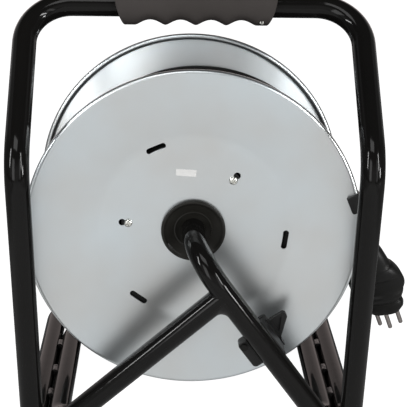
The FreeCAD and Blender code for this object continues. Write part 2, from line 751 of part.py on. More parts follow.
# Winding knob on the far flange
knob_seat = far_y + knob_boss_height
boss = rod_y(knob_boss_r, far_flat, knob_seat, knob_at)
boss = boss.cut(lathe([(0, far_flat - 30), (flange_r, far_flat - 30), (flange_r, far_y),
                       (cone_r + bead_r, far_y), (flat_r, far_flat), (0, far_flat)]))
boss = boss.cut(rod_y(knob_bolt_r + thread_play, far_flat - 5, far_y + 20, knob_at))
save(boss, "knob_boss")
knob_y0 = knob_seat + apart
knob_y1 = knob_y0 + knob_length
knob_bolt_end = knob_y1 - 4.0
cone_slope = dish / (cone_r + bead_r - flat_r)
nut_seat = far_flat + cone_slope * (knob_ring_r - knob_nut_r - flat_r) - sheet * math.hypot(1, cone_slope)
nut_seat -= seat / 2
knob_bolt = rod_y(knob_bolt_r, nut_seat - knob_nut_thick - 1, knob_bolt_end, knob_at)
collar_y = knob_bolt_end - knob_collar_thick
knob_bolt = knob_bolt.fuse(rod_y(knob_bolt_r + knob_collar, collar_y, knob_bolt_end, knob_at))
nut = rod_y(knob_nut_r, nut_seat - knob_nut_thick, nut_seat, knob_at)
save(knob_bolt.fuse(nut).removeSplitter(), "knob_bolt")


def knob_shape():
    """A waisted knob that turns on its bolt, with a cavity for the bolt's collar."""
    profile = [
        (0, knob_y0), (knob_r * 0.72, knob_y0), (knob_r * 0.80, knob_y0 + 1.2),
        (knob_r * 0.66, knob_y0 + knob_length * 0.30), (knob_r * 0.74, knob_y0 + knob_length * 0.55),
        (knob_r, knob_y0 + knob_length * 0.80), (knob_r * 0.98, knob_y1 - 2.6),
        (knob_r * 0.82, knob_y1 - 0.7), (0, knob_y1),
    ]
    points = [V(knob_at.x + r, y, knob_at.z) for r, y in profile]
    face = Part.Face(Part.makePolygon(points + [points[0]]))
    knob = face.revolve(V(knob_at.x, 0, knob_at.z), along_y, 360)
    knob = knob.cut(rod_y(knob_bolt_r + running, knob_y0 - 1, knob_bolt_end - 1, knob_at))
    collar_room_r = knob_bolt_r + knob_collar + apart
    return knob.cut(rod_y(collar_room_r, collar_y - apart, knob_bolt_end + apart, knob_at))


save(knob_shape(), "winding_knob")

# Clip pushed over the near rim, which the cable's end snaps into
clip = box(clip_inner_r, clip_outer_r, near_y - bead_r - clip_front, near_y + bead_r + clip_back,
           axle_height - clip_across / 2, axle_height + clip_across / 2)
long_edges = [e for e in clip.Edges if abs(e.Vertexes[0].Y - e.Vertexes[-1].Y) > 1]
clip = clip.makeFillet(1.6, long_edges)
clip = turned(clip, clip_angle)
bead_room = Part.makeTorus(flange_r - bead_r, bead_r + 0.05, V(0, near_y, axle_height), along_y)
sheet_room = lathe([(flat_r, near_flat - 1.5), (cone_r + bead_r, near_y - 0.4),
                    (cone_r + bead_r, near_y + sheet + 0.4), (flat_r, near_flat + sheet + 0.6)])
clip = clip.cut(bead_room).cut(sheet_room)
clip = max(clip.Solids, key=lambda s: s.Volume) if len(clip.Solids) > 1 else clip
save(clip, "rim_clip")

# Bare label on the near flange
label = box(label_x - label_width / 2, label_x + label_width / 2, near_flat - label_thick, near_flat,
            axle_height + label_up - label_height / 2, axle_height + label_up + label_height / 2)
label.rotate(V(label_x, near_flat, axle_height + label_up), along_y, 4)
save(label, "bare_label")

# Winding: the outer shape of all the turns, one layer lower at the far side
def winding_side(radius, far):
    """Where the flange's inner face lies at a radius, less the gap."""
    rise = dish * max(0.0, radius - flat_r) / (cone_r + bead_r - flat_r)
    if far:
        return far_flat - sheet - winding_side_gap + rise
    return near_flat + sheet + winding_side_gap - rise


step_r = winding_r - layer_step - layer_drop
step_y = winding_side(winding_r, True) - tail_turn_width
winding = lathe([
    (core_r + 0.2, winding_side(core_r, False)), (flat_r, winding_side(flat_r, False)),
    (winding_r, winding_side(winding_r, False)), (winding_r, step_y),
    (step_r, step_y), (step_r, winding_side(step_r, True)),
    (flat_r, winding_side(flat_r, True)), (core_r + 0.2, winding_side(core_r, True)),
])
save(winding, "cable_winding")

# Tail: the end of the cable, off the last turn on the far side, down to the plug
plug_point = V(plug_x, near_y + plug_behind_rim, axle_height - plug_below_axle)
plug_way = V(0.36, 0.27, -0.90).normalize()                   # the way the pins point
level_side = plug_way.cross(V(0, 1, 0)).normalize()
level_flat = level_side.cross(plug_way).normalize()
roll = math.radians(plug_roll)
plug_side = level_side * math.cos(roll) + level_flat * math.sin(roll)      # along the row of pins
plug_flat = level_flat * math.cos(roll) - level_side * math.sin(roll)
relief_start = plug_point - plug_way * plug_body_depth
relief_corner = relief_start - plug_way * relief_straight
relief_way = V(-0.45, 0.36, 0.82).normalize()                 # the way the cable leaves the plug
plug_back = relief_corner + relief_way * relief_bent
tail_r = step_r + cable_d / 2 + tail_rise
tail_y = winding_side(winding_r, True) - cable_d / 2 - tail_side_gap
tail_route = [spot(tail_r + out, angle, tail_y - forward) for angle, out, forward in tail_places]
tail_route += [plug_back + relief_way * plug_lead, plug_back]


def route_radii(points):
    """Each bend is as large as its two runs allow."""
    radii = []
    for before, corner, after in zip(points, points[1:], points[2:]):
        turn = math.pi - (before - corner).getAngle(after - corner)
        run = min((corner - before).Length, (after - corner).Length)
        radii.append(0.45 * run / math.tan(turn / 2))
    return radii


tail_radii = route_radii(tail_route)
tail = swept(bent_path(tail_route, tail_radii), cable_d / 2)
save(tail, "cable_tail")
tail_length = bent_path(tail_route, tail_radii).Length
print("tail runs", [round((b - a).Length, 1) for a, b in zip(tail_route, tail_route[1:])])
print("tail radii", [round(r, 1) for r in tail_radii], "length", round(tail_length, 1),
      "volume ratio", round(tail.Volume / (math.pi * (cable_d / 2) ** 2 * tail_length), 4))

# Plug: a rubber body with finger lobes and a bent strain relief, a front collar, three round pins
def plug_section(middle, way, half_width, half_thick):
    """An oval across the plug, square to the way back along its middle line."""
    wide = (plug_side - way * plug_side.dot(way)).normalize()
    thick = wide.cross(way).normalize()
    oval = Part.Ellipse(middle + wide * half_width, middle + thick * half_thick, middle)
    return Part.Wire(oval.toShape())


def plug_body_shape():
    back = -plug_way
    sections = [plug_section(plug_point + back * at, back, wide, thick) for at, wide, thick in plug_sizes]
    turn_way = (back + relief_way).normalize()
    turn_cut = relief_bent / 2
    places = [(relief_start, back), (relief_corner + plug_way * turn_cut, back),
              (relief_corner + (relief_way - back) * (turn_cut / 4), turn_way), (plug_back, relief_way)]
    for (middle, way), (wide, thick) in zip(places, relief_sizes):
        sections.append(plug_section(middle, way, wide, thick))
    return Part.makeLoft(sections, True, False)


save(plug_body_shape(), "plug_body")
collar_wide, collar_thick = plug_collar_size
collar = Part.makeLoft([
    plug_section(plug_point - plug_way * (plug_collar_depth - 0.05), -plug_way,
                 collar_wide - 0.8, collar_thick - 0.4),
    plug_section(plug_point - plug_way * 1.0, -plug_way, collar_wide, collar_thick),
    plug_section(plug_point, -plug_way, collar_wide - 0.9, collar_thick - 0.9),
], True, True)
pins = []
for shift, earth in ((-pin_pitch, 0.0), (pin_pitch, 0.0), (0.0, earth_shift)):
    foot = plug_point + plug_side * shift - plug_flat * earth
    root = foot - plug_way * pin_root
    collar = collar.cut(Part.makeCylinder(pin_root_r + thread_play, pin_root + 5, root, plug_way))
    pin = Part.makeCylinder(pin_r, pin_length, foot, plug_way)
    tip = foot + plug_way * pin_length
    tip_edge = [e for e in pin.Edges if (e.CenterOfMass - tip).Length < 0.05]
    pin = pin.makeFillet(1.2, tip_edge)
    pins.append(pin.fuse(Part.makeCylinder(pin_root_r, pin_root, root, plug_way)))
save(collar, "plug_collar")
save(group(pins), "plug_pins")

# Grip: two plastic halves round the handle bar, hooked at one end and screwed at the other
def grip_halves():
    middle = grip_offset
    half = grip_length / 2
    bottom = handle_height - tube_r - grip_tooth
    top = handle_height + grip_top
    steps = 10
    outline = [(-half - grip_end_slant / 2, top), (-half + grip_end_slant / 2, bottom)]
    scallops = 4
    first = -scallops * grip_scallop_pitch / 2
    for k in range(scallops * steps + 1):
        x = first + k * grip_scallop_pitch / steps
        wave = math.sin(math.pi * (k % steps) / steps) if k % steps else 0.0
        outline.append((x, bottom + grip_scallop * wave))
    outline += [(half - grip_end_slant / 2, bottom), (half + grip_end_slant / 2, top)]
    points = [V(middle + x, handle_y - 40, z) for x, z in outline]
    long_view = Part.Face(Part.makePolygon(points + [points[0]])).extrude(V(0, 80, 0))
    c = grip_corner_r
    y0, y1 = handle_y - grip_half_thick, handle_y + grip_half_thick
    end = Part.makeBox(grip_length + 40, y1 - y0, top - bottom, V(middle - half - 20, y0, bottom))
    end = end.makeFillet(c, [e for e in end.Edges if abs(e.Vertexes[0].X - e.Vertexes[-1].X) > 1])
    grip = long_view.common(end)
    bar = Part.makeCylinder(tube_r + seat, grip_length + 60,
                            V(middle - half - 30, handle_y, handle_height), V(1, 0, 0))
    grip = grip.cut(bar)
    screw_at = V(middle + half - grip_screw_inset, 0, bottom + grip_screw_rise)
    grip = grip.cut(rod_y(grip_screw_r, handle_y - 30, handle_y + 30, screw_at))
    grip = grip.cut(rod_y(grip_sink_r, handle_y - 30, handle_y - grip_half_thick + grip_screw_sink, screw_at))
    wide = grip_length
    front = grip.common(box(-wide, wide, handle_y - 60, handle_y - grip_split, bottom - 1, top + 1))
    rear = grip.common(box(-wide, wide, handle_y + grip_split, handle_y + 60, bottom - 1, top + 1))
    return front, rear, screw_at


grip_front, grip_rear, grip_screw_at = grip_halves()
save(grip_front, "grip_front")
save(grip_rear, "grip_rear")
grip_screw = pan_screw(grip_screw_at, handle_y - grip_half_thick + grip_screw_sink, 1,
                       grip_screw_r - thread_play, *grip_screw_size)
save(grip_screw, "grip_screw")

# Drum brake: a saddle on the main strut carries a winged lever that turns against the flange
# Local frame: x to the upper right across the strut, y down the strut, z towards the drum
brake_x = V(-strut_way.z, 0, strut_way.x).normalize()
brake_z = brake_x.cross(strut_way).normalize()
brake_at = strut_top + strut_way * brake_place


def placed(shape):
    matrix = FreeCAD.Matrix(
        brake_x.x, strut_way.x, brake_z.x, brake_at.x,
        brake_x.y, strut_way.y, brake_z.y, brake_at.y,
        brake_x.z, strut_way.z, brake_z.z, brake_at.z,
        0, 0, 0, 1)
    copy = shape.copy()
    copy.Placement = FreeCAD.Placement(matrix)
    return copy


ear_r = brake_knuckle_r + 0.6


def brake_block(x0, x1, y0, y1, outer_x, rounding):
    """One side of the saddle, rounded along its outer edges."""
    block = box(x0, x1, y0, y1, -1.5, brake_back)
    upright = [e for e in block.Edges if abs(e.Vertexes[0].Z - e.Vertexes[-1].Z) > 1
               and abs(e.CenterOfMass.x - outer_x) < 0.01]
    block = block.makeFillet(rounding, upright)
    long_edges = [e for e in block.Edges if abs(e.Vertexes[0].Y - e.Vertexes[-1].Y) > 8
                  and abs(e.CenterOfMass.x - outer_x) < 0.01]
    return block.makeFillet(1.2, long_edges)


left_block = brake_block(-brake_left, 0, -brake_block_top, brake_block_foot, -brake_left, brake_block_round)
left_step = box(-brake_left - 1, -tube_r - 0.5, -brake_foot - 1, brake_foot + 1, 7.0, brake_back + 1)
right_block = brake_block(-1, brake_right, -brake_top, brake_foot, brake_right, 1.5)
saddle = left_block.cut(left_step).fuse(right_block)
ear_places = (-brake_top, brake_foot - brake_ear)
for y0 in ear_places:
    ear = box(brake_pivot_right - ear_r, brake_pivot_right + ear_r, y0, y0 + brake_ear,
              brake_back - 1, brake_pivot_back)
    ear_top = Part.makeCylinder(ear_r, brake_ear, V(brake_pivot_right, y0, brake_pivot_back), V(0, 1, 0))
    saddle = saddle.fuse(ear.fuse(ear_top))
tube_room = Part.makeCylinder(tube_r + seat, 2 * brake_foot + 4, V(0, -brake_foot - 2, 0), V(0, 1, 0))
mouth = box(-tube_r - seat, tube_r + seat, -brake_foot - 2, brake_foot + 2, -10, 0)
saddle = saddle.cut(tube_room).cut(mouth)
brake_hole = Part.makeCylinder(brake_pin_r + thread_play, 2 * brake_foot + 4,
                               V(brake_pivot_right, -brake_foot - 2, brake_pivot_back), V(0, 1, 0))
saddle = saddle.cut(brake_hole)
screw_hole = Part.makeCylinder(saddle_screw_r, 20, V(-saddle_screw_left, -saddle_screw_up, -10), V(0, 0, 1))
saddle = saddle.cut(screw_hole)
saddle = saddle.removeSplitter()
save(placed(max(saddle.Solids, key=lambda s: s.Volume)), "brake_saddle")
pin_end = V(brake_pivot_right, -brake_top, brake_pivot_back)
brake_pin = Part.makeCylinder(brake_pin_r, brake_top + brake_foot, pin_end, V(0, 1, 0))
save(placed(brake_pin), "brake_pin")

lever_top = -brake_top + brake_ear + apart
lever_foot = brake_foot - brake_ear - apart
wing_top = lever_top + 0.1
wing_outline = [V(brake_pivot_right, wing_top, 0), V(brake_wing_reach - 1.5, wing_top, 0),
                V(brake_wing_reach, wing_top + 2.0, 0), V(brake_wing_reach - 0.4, wing_top + 5.5, 0),
                V(brake_pivot_right + 4.0, lever_foot, 0), V(brake_pivot_right, lever_foot, 0)]
wing = Part.Face(Part.makePolygon(wing_outline + [wing_outline[0]])).extrude(V(0, 0, brake_wing_thick))
wing.translate(V(0, 0, brake_pivot_back - brake_wing_thick / 2))
dent_outline = [V(brake_pivot_right + 5.5, wing_top + 2.8, 0), V(brake_wing_reach - 4.0, wing_top + 2.6, 0),
                V(brake_pivot_right + 6.0, lever_foot - 5.5, 0)]
dent = Part.Face(Part.makePolygon(dent_outline + [dent_outline[0]])).extrude(V(0, 0, 1.6))
dent.translate(V(0, 0, brake_pivot_back - brake_wing_thick / 2 - 0.1))
knuckle = Part.makeCylinder(brake_knuckle_r, lever_foot - lever_top,
                            V(brake_pivot_right, lever_top, brake_pivot_back), V(0, 1, 0))
lever = wing.fuse(knuckle).cut(dent)
lever = lever.cut(Part.makeCylinder(brake_pin_r + running, lever_foot - lever_top + 2,
                                    V(brake_pivot_right, lever_top - 1, brake_pivot_back), V(0, 1, 0)))
save(placed(lever.removeSplitter()), "brake_lever")
saddle_screw = Part.makeCylinder(3.0, 2.0, V(-saddle_screw_left, -saddle_screw_up, -3.5), V(0, 0, 1))
shank = Part.makeCylinder(saddle_screw_r - thread_play, 8.0,
                          V(-saddle_screw_left, -saddle_screw_up, -2), V(0, 0, 1))
saddle_screw = saddle_screw.fuse(shank)
save(placed(saddle_screw.removeSplitter()), "saddle_screw")

pivot = brake_at + brake_x * brake_pivot_right + brake_z * brake_pivot_back
print("brake pivot", [round(c, 2) for c in pivot], "axis", [round(-c, 4) for c in strut_way])
print("hinge ring", hinge_r, "hinge y", round(hinge_y, 2), "knob at", [round(c, 2) for c in knob_at])
print("stand y", -stand_depth / 2, stand_depth / 2, "far rim", far_y, "near rim", near_y)
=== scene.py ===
# %% [markdown]
# # Extension cord reel
#
# This lesson dresses a finished metal frame: a sheet steel drum of black cable on a bent
# tube stand. The CAD file already holds every piece at its real size. Here the visible
# pieces get their soft edges, their cable and their finishes, one short step at a time.
#
# Blender counts in metres. The reel was designed in millimetres, so `mm` turns one into
# the other and the numbers below stay readable.

# %% Load the frame
import bpy
import bmesh
import json
import math
from mathutils import Matrix, Vector


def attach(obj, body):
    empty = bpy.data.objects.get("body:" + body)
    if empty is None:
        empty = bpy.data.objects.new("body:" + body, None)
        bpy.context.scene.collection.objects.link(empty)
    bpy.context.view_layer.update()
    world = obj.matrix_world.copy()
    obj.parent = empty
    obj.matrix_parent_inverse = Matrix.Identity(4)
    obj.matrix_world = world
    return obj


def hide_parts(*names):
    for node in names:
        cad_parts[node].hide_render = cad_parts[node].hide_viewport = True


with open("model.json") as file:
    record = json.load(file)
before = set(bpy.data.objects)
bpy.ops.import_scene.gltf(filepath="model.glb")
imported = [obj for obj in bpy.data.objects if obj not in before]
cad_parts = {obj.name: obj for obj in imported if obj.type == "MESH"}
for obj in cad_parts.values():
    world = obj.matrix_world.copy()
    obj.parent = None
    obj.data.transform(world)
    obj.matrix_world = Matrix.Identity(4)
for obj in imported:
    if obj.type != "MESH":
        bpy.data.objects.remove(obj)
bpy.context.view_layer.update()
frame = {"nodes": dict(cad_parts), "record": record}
mm = 0.001

# %% A helper for new objects


def placed(name, data):
    """A new object in the scene."""
    thing = bpy.data.objects.new(name, data)
    bpy.context.scene.collection.objects.link(thing)
    return thing


print("object helper ready")

# %% [markdown]
# ## The camera
#
# The photographer stood in front of the plain side of the drum and looked down a little.
# The three angles and the lens were worked out from the ellipses of the two rims and from
# the lines of the legs. A camera in Blender looks along its own -Z, so its rotation is
# built from the way to the right, the way up and the way it looks.

# %% Place the camera
camera_place = Vector((-20.82, -850.46, 505.32)) * mm
camera_turn = math.radians(2.104)      # to the right of straight ahead
camera_dip = math.radians(21.246)      # below the level
camera_roll = math.radians(0.936)
lens_length = 91.12                    # on a sensor 36 mm wide

ahead = Vector((math.sin(camera_turn) * math.cos(camera_dip),
                math.cos(camera_turn) * math.cos(camera_dip),
                -math.sin(camera_dip)))
level_right = ahead.cross(Vector((0, 0, 1))).normalized()
level_up = level_right.cross(ahead)
right = level_right * math.cos(camera_roll) + level_up * math.sin(camera_roll)
up = level_up * math.cos(camera_roll) - level_right * math.sin(camera_roll)

camera_data = bpy.data.cameras.new("camera")
camera_data.lens = lens_length
camera_data.sensor_width = 36
camera = placed("camera", camera_data)
camera.matrix_world = Matrix((
    (right.x, up.x, -ahead.x, camera_place.x),
    (right.y, up.y, -ahead.y, camera_place.y),
    (right.z, up.z, -ahead.z, camera_place.z),
    (0, 0, 0, 1)))
bpy.context.scene.camera = camera
print("camera at", [round(c, 3) for c in camera_place])

# %% [markdown]
# ## The cable on the drum
#
# A reel holds one long rubber cable. It comes out of the drum's core, lies in turns side
# by side, and climbs a layer at each flange. It could be one plain ring with a bump map,
# but its turns show from above and behind, so it is one real line: a NURBS curve that
# goes round the drum more than forty times, with a round section.
#
# A NURBS line of order 3 runs a little inside its control points. With a few points for
# each turn the shortfall is the same all round, so the points are put further out by it.

# %% Say where things are on the drum
axle_height = 175.5


def on_drum(radius, angle, y):
    """A point round the axle in metres, from a radius, an angle from +X to +Z, and y."""
    turn = math.radians(angle)
    return Vector((radius * math.cos(turn), y, axle_height + radius * math.sin(turn))) * mm


print("axle", on_drum(0, 0, 0))

# %% Measure the winding space
cable_d = 9.4
core_r = 75.0
layer_step, core_gap = 8.14, 0.2
first_layer_r = core_r + core_gap + cable_d / 2
near_wall, far_wall = -61.4, 49.8      # the flanges' inner faces, less the gap
cone_start, cone_rise = 80.6, 9.3 / 54.5


def wall_space(radius):
    """The lowest and highest y of a cable's middle in the layer at a radius."""
    rise = cone_rise * max(0.0, radius - cone_start)
    return near_wall - rise + cable_d / 2, far_wall + rise - cable_d / 2


layers = [first_layer_r + layer_step * k for k in range(4)]
print("layers", [round(r, 1) for r in layers], "outer space", wall_space(layers[-1]))

# %% Lay the turns
points_a_turn = 14
step_angle = 360 / points_a_turn
reach_out = 1 / (0.75 + 0.25 * math.cos(math.radians(step_angle)))
turn_pitch = 9.62
lead_angle, lead_y = 33.0, -25.0
inside_core_r, leaving_core_r = 72.0, 76.5
last_y, tail_r, tail_y, tail_angle = 37.3, 106.8, 49.0, 138.0
cross_over_angle = 150

winding = [on_drum(inside_core_r, lead_angle, lead_y), on_drum(leaving_core_r, lead_angle - 4, lead_y)]
angle = lead_angle - 14


def lay(radius, y):
    """Adds one control point. A slow unevenness stands for a winding done by hand."""
    global angle
    uneven = 0.25 * math.sin(angle * 0.0131) + 0.2 * math.sin(angle * 0.0047 + 1.3)
    winding.append(on_drum((radius + 0.5 * uneven) * reach_out, angle, y + uneven))
    angle -= step_angle


def lay_turns(radius, y_from, y_to, turns):
    steps = round(turns * points_a_turn)
    for k in range(steps):
        lay(radius, y_from + (y_to - y_from) * k / steps)


lay_turns(layers[0], lead_y, wall_space(layers[0])[1], 1)
for k, radius in enumerate(layers):
    near_end, far_end = wall_space(radius)
    start, end = (near_end, far_end) if k % 2 else (far_end, near_end)
    outermost = radius == layers[-1]
    if outermost:
        end = last_y
    turns = abs(end - start) / turn_pitch
    if outermost:
        goal = tail_angle + cross_over_angle
        turns += ((angle - turns * 360 - goal) % 360) / 360
    lay_turns(radius, start, end, turns)
    print("layer", k + 1, "turns", round(turns, 2))

# %% [markdown]
# The outer layer stops short of the far flange. From there the cable crosses over to the
# last turn, comes off the drum at the top right, and hangs down to its plug. The tail is a
# line of its own, because it stays with the stand when the drum turns.

# %% Cross over to the tail
cross_turn = (angle - tail_angle) % 360
cross_steps = round(cross_turn / step_angle)
tail_turn_r = 105.8
for k in range(cross_steps):
    share = k / cross_steps
    ease = share * share * (3 - 2 * share)
    cross_r = (layers[-1] + (tail_turn_r - layers[-1]) * ease) * reach_out
    winding.append(on_drum(cross_r, angle - cross_turn * share, last_y + (tail_y - last_y) * ease))
winding.append(on_drum(tail_r, tail_angle, tail_y))
print("control points", len(winding), "turns", round((lead_angle - angle + cross_turn) / 360, 1))

# %% Turn the points into a round cable


def cable_curve(name, points, diameter, rings):
    """A NURBS line of order 3 through its ends, with a round section. Each point's radius
    is in metres, because a curve's box grows by it, and scales a section drawn in mm."""
    curve = bpy.data.curves.new(name, "CURVE")
    curve.dimensions = "3D"
    spline = curve.splines.new("NURBS")
    spline.points.add(len(points) - 1)
    for spot, place in zip(spline.points, points):
        spot.co = (*place, 1)
        spot.radius = mm
    spline.order_u = 3
    spline.use_endpoint_u = True
    spline.resolution_u = rings
    curve.bevel_depth = diameter / 2
    curve.bevel_resolution = 4
    curve.use_fill_caps = True
    return placed(name, curve)


def line_length(piece):
    """The length of a curve's middle line, read from the curve without its section."""
    bare = piece.copy()
    bare.data = piece.data.copy()
    bare.data.bevel_depth = 0
    line = bpy.data.meshes.new_from_object(bare)
    places = [v.co.copy() for v in line.vertices]
    total = sum((b - a).length for a, b in zip(places, places[1:]))
    bpy.data.objects.remove(bare)
    return total


wound_cable = cable_curve("wound_cable", winding, cable_d, 3)
wound_length = line_length(wound_cable)
print("wound cable", round(wound_length, 2), "m")

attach(wound_cable, "drum")
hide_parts("cable_winding")

# %% Lay the tail down to the plug
knee_y, rim_behind_knee = -119.5, 47.2
near_rim_y = knee_y + rim_behind_knee
plug_aside, plug_behind_rim, plug_below_axle = 178.6, 60.3, 99.9
plug_face = Vector((plug_aside, near_rim_y + plug_behind_rim, axle_height - plug_below_axle)) * mm
plug_way = Vector((0.36, 0.27, -0.90)).normalized()       # the way the pins point
relief_way = Vector((-0.45, 0.36, 0.82)).normalized()     # the way the cable leaves the plug
moulding_long, neck_long, relief_long, straight_long = 56, 16, 18, 26
relief_corner = plug_face - plug_way * (moulding_long + neck_long) * mm
relief_end = relief_corner + relief_way * relief_long * mm

# Each place is an angle on the drum, how far it stands out, and how far it is drawn forward
tail_places = [(tail_angle, 0.0, 0), (120, 0.2, 0), (102, 0.5, 0), (84, 1.8, 0), (66, 5.0, 1),
               (49, 9.8, 5), (34, 14.2, 15), (21, 18.0, 31), (9, 24.0, 47)]
tail = [on_drum(tail_r + out, turn, tail_y - forward) for turn, out, forward in tail_places]
tail += [relief_end + relief_way * straight_long * mm, relief_end]
tail_cable = cable_curve("tail_cable", tail, cable_d, 10)
tail_length = line_length(tail_cable)
print("tail", round(tail_length, 3), "m, plug face at", [round(c, 4) for c in plug_face])

# %% [markdown]
# ## Finishes
#
# Each finish is one material of plain nodes. Effects that several finishes share, such as
# a cloudy tone, a moulded grain or the faint ripple of sprayed paint, are node groups.
# They are made once, and each material places them with its own sizes. All of them read
# Object coordinates, so a pattern stays with its piece and keeps its real scale.

# %% Helpers for node groups


def new_group(name, inputs, outputs):
    """An empty shader node group. inputs and outputs are (name, kind, default)."""
    group = bpy.data.node_groups.new(name, "ShaderNodeTree")
    for way, sockets in (("INPUT", inputs), ("OUTPUT", outputs)):
        for label, kind, default in sockets:
            socket = group.interface.new_socket(label, in_out=way, socket_type="NodeSocket" + kind)
            if default is not None:
                socket.default_value = default
    start = group.nodes.new("NodeGroupInput")
    end = group.nodes.new("NodeGroupOutput")
    return group, start, end


def combined(operation, *values):
    """A Math node in the tree at hand. Each value is a number or another node's output."""
    node = nodes.new("ShaderNodeMath")
    node.operation = operation
    for socket, value in zip(node.inputs, values):
        if isinstance(value, float):
            socket.default_value = value
        else:
            links.new(value, socket)
    return node.outputs["Value"]


print("group helpers ready")

# %% [markdown]
# Sheet metal, rubber and plastic are never one even tone. A large, soft noise gives the
# cloudy change of tone, and a much smaller one the grain. The group hands both out as
# values round zero, so that a material can add them to its own numbers.

# %% The cloudy tone and the grain
cloudy_grain, start, end = new_group(
    "cloudy_grain",
    [("Vector", "Vector", None), ("Cloud Scale", "Float", 12.0), ("Grain Scale", "Float", 900.0)],
    [("Cloud", "Float", None), ("Grain", "Float", None)])
nodes, links = cloudy_grain.nodes, cloudy_grain.links
for label, detail in (("Cloud", 3.0), ("Grain", 2.0)):
    noise = nodes.new("ShaderNodeTexNoise")
    noise.inputs["Detail"].default_value = detail
    links.new(start.outputs["Vector"], noise.inputs["Vector"])
    links.new(start.outputs[label + " Scale"], noise.inputs["Scale"])
    links.new(combined("SUBTRACT", noise.outputs["Fac"], 0.5), end.inputs[label])
print("group", cloudy_grain.name)

# %% [markdown]
# Moulded plastic and rubber have a fine pebbled skin from the eroded steel of the mould.
# Voronoi cells of half a millimetre, softened, look like it.

# %% The pebbled skin of a moulding
moulded_skin, start, end = new_group(
    "moulded_skin",
    [("Vector", "Vector", None), ("Scale", "Float", 1400.0)],
    [("Height", "Float", None)])
nodes, links = moulded_skin.nodes, moulded_skin.links
cells = nodes.new("ShaderNodeTexVoronoi")
cells.feature = "SMOOTH_F1"
cells.inputs["Smoothness"].default_value = 0.6
links.new(start.outputs["Vector"], cells.inputs["Vector"])
links.new(start.outputs["Scale"], cells.inputs["Scale"])
links.new(cells.outputs["Distance"], end.inputs["Height"])
print("group", moulded_skin.name)

# %% [markdown]
# A drum that has been carried and wound shows a few hair-fine rub marks. Noise that is
# drawn out in one direction, and cut off near its top, gives them.

# %% Rub marks
rub_marks, start, end = new_group(
    "rub_marks",
    [("Vector", "Vector", None), ("Scale", "Float", 60.0), ("Share", "Float", 0.62)],
    [("Mask", "Float", None)])
nodes, links = rub_marks.nodes, rub_marks.links
drawn = nodes.new("ShaderNodeMapping")
drawn.inputs["Rotation"].default_value = (0.3, 0.7, 0.2)
drawn.inputs["Scale"].default_value = (1.0, 30.0, 60.0)
streaks = nodes.new("ShaderNodeTexNoise")
streaks.inputs["Detail"].default_value = 3.0
links.new(start.outputs["Vector"], drawn.inputs["Vector"])
links.new(drawn.outputs["Vector"], streaks.inputs["Vector"])
links.new(start.outputs["Scale"], streaks.inputs["Scale"])
cut = combined("SUBTRACT", streaks.outputs["Fac"], start.outputs["Share"])
mask = combined("MULTIPLY", cut, 7.0)
mask.node.use_clamp = True
links.new(mask, end.inputs["Mask"])
print("group", rub_marks.name)

# %% A helper for materials


class Finish:
    """A material under construction: its Principled shader and short ways to add nodes."""

    def __init__(self, name, color, metallic=0.0, roughness=0.5):
        self.material = bpy.data.materials.new(name)
        self.material.use_nodes = True
        self.tree = self.material.node_tree
        self.shader = self.tree.nodes["Principled BSDF"]
        self.shader.inputs["Metallic"].default_value = metallic
        self.shader.inputs["Roughness"].default_value = roughness
        self.material.diffuse_color = (*color, 1)
        self.place = self.add("TexCoord").outputs["Object"]

    def add(self, kind, **values):
        node = self.tree.nodes.new("ShaderNode" + kind)
        for label, value in values.items():
            node.inputs[label].default_value = value
        return node

    def group(self, group, **values):
        node = self.tree.nodes.new("ShaderNodeGroup")
        node.node_tree = group
        for label, value in values.items():
            node.inputs[label.replace("_", " ")].default_value = value
        self.link(self.place, node.inputs["Vector"])
        return node

    def link(self, out, into):
        self.tree.links.new(out, into)

    def scaled(self, out, factor, offset):
        """factor times a value, plus an offset: a number or another node's output."""
        node = self.add("Math")
        node.operation = "MULTIPLY_ADD"
        self.link(out, node.inputs[0])
        node.inputs[1].default_value = factor
        if isinstance(offset, float):
            node.inputs[2].default_value = offset
        else:
            self.link(offset, node.inputs[2])
        return node.outputs["Value"]

    def tone(self, out, dark, light, spread=1.0):
        """A colour between two tones by a value round zero."""
        mix = self.add("Mix")
        mix.data_type = "RGBA"
        self.link(self.scaled(out, spread, 0.5), mix.inputs["Factor"])
        mix.inputs["A"].default_value = (*dark, 1)
        mix.inputs["B"].default_value = (*light, 1)
        return mix.outputs["Result"]

    def bump(self, height, strength, distance, normal=None):
        node = self.add("Bump", Strength=strength, Distance=distance)
        self.link(height, node.inputs["Height"])
        if normal is not None:
            self.link(normal, node.inputs["Normal"])
        return node.outputs["Normal"]

    def dress(self, tone, normal, roughness=None):
        """Gives the shader its tone, its bumps and, where it varies, its roughness."""
        self.link(tone, self.shader.inputs["Base Color"])
        self.link(normal, self.shader.inputs["Normal"])
        if roughness is not None:
            self.link(roughness, self.shader.inputs["Roughness"])


def shade(color, factor):
    return tuple(c * factor for c in color)


print("material helper ready")

# %% [markdown]
# The stand is sprayed with black gloss paint. Gloss black is mostly reflection: its colour
# is close to black, and the lamps show in it as long soft lines. Sprayed paint dries with
# a faint ripple, which keeps those lines from looking like chrome.

# %% Black gloss paint
paint = Finish("black_gloss_paint", (0.005, 0.005, 0.005), roughness=0.09)
paint.shader.inputs["Specular IOR Level"].default_value = 0.15
texture = paint.group(cloudy_grain, Cloud_Scale=9.0, Grain_Scale=110.0)
marks = paint.group(rub_marks, Scale=22.0, Share=0.66)
paint.dress(paint.tone(texture.outputs["Cloud"], (0.003, 0.003, 0.003), (0.007, 0.0065, 0.006)),
            paint.bump(texture.outputs["Grain"], 0.12, 0.0005),
            paint.scaled(marks.outputs["Mask"], 0.10, 0.09))
print("paint", paint.material.name)

# %% [markdown]
# A weld under the paint keeps its ripples: one small wave for each pass of the torch.

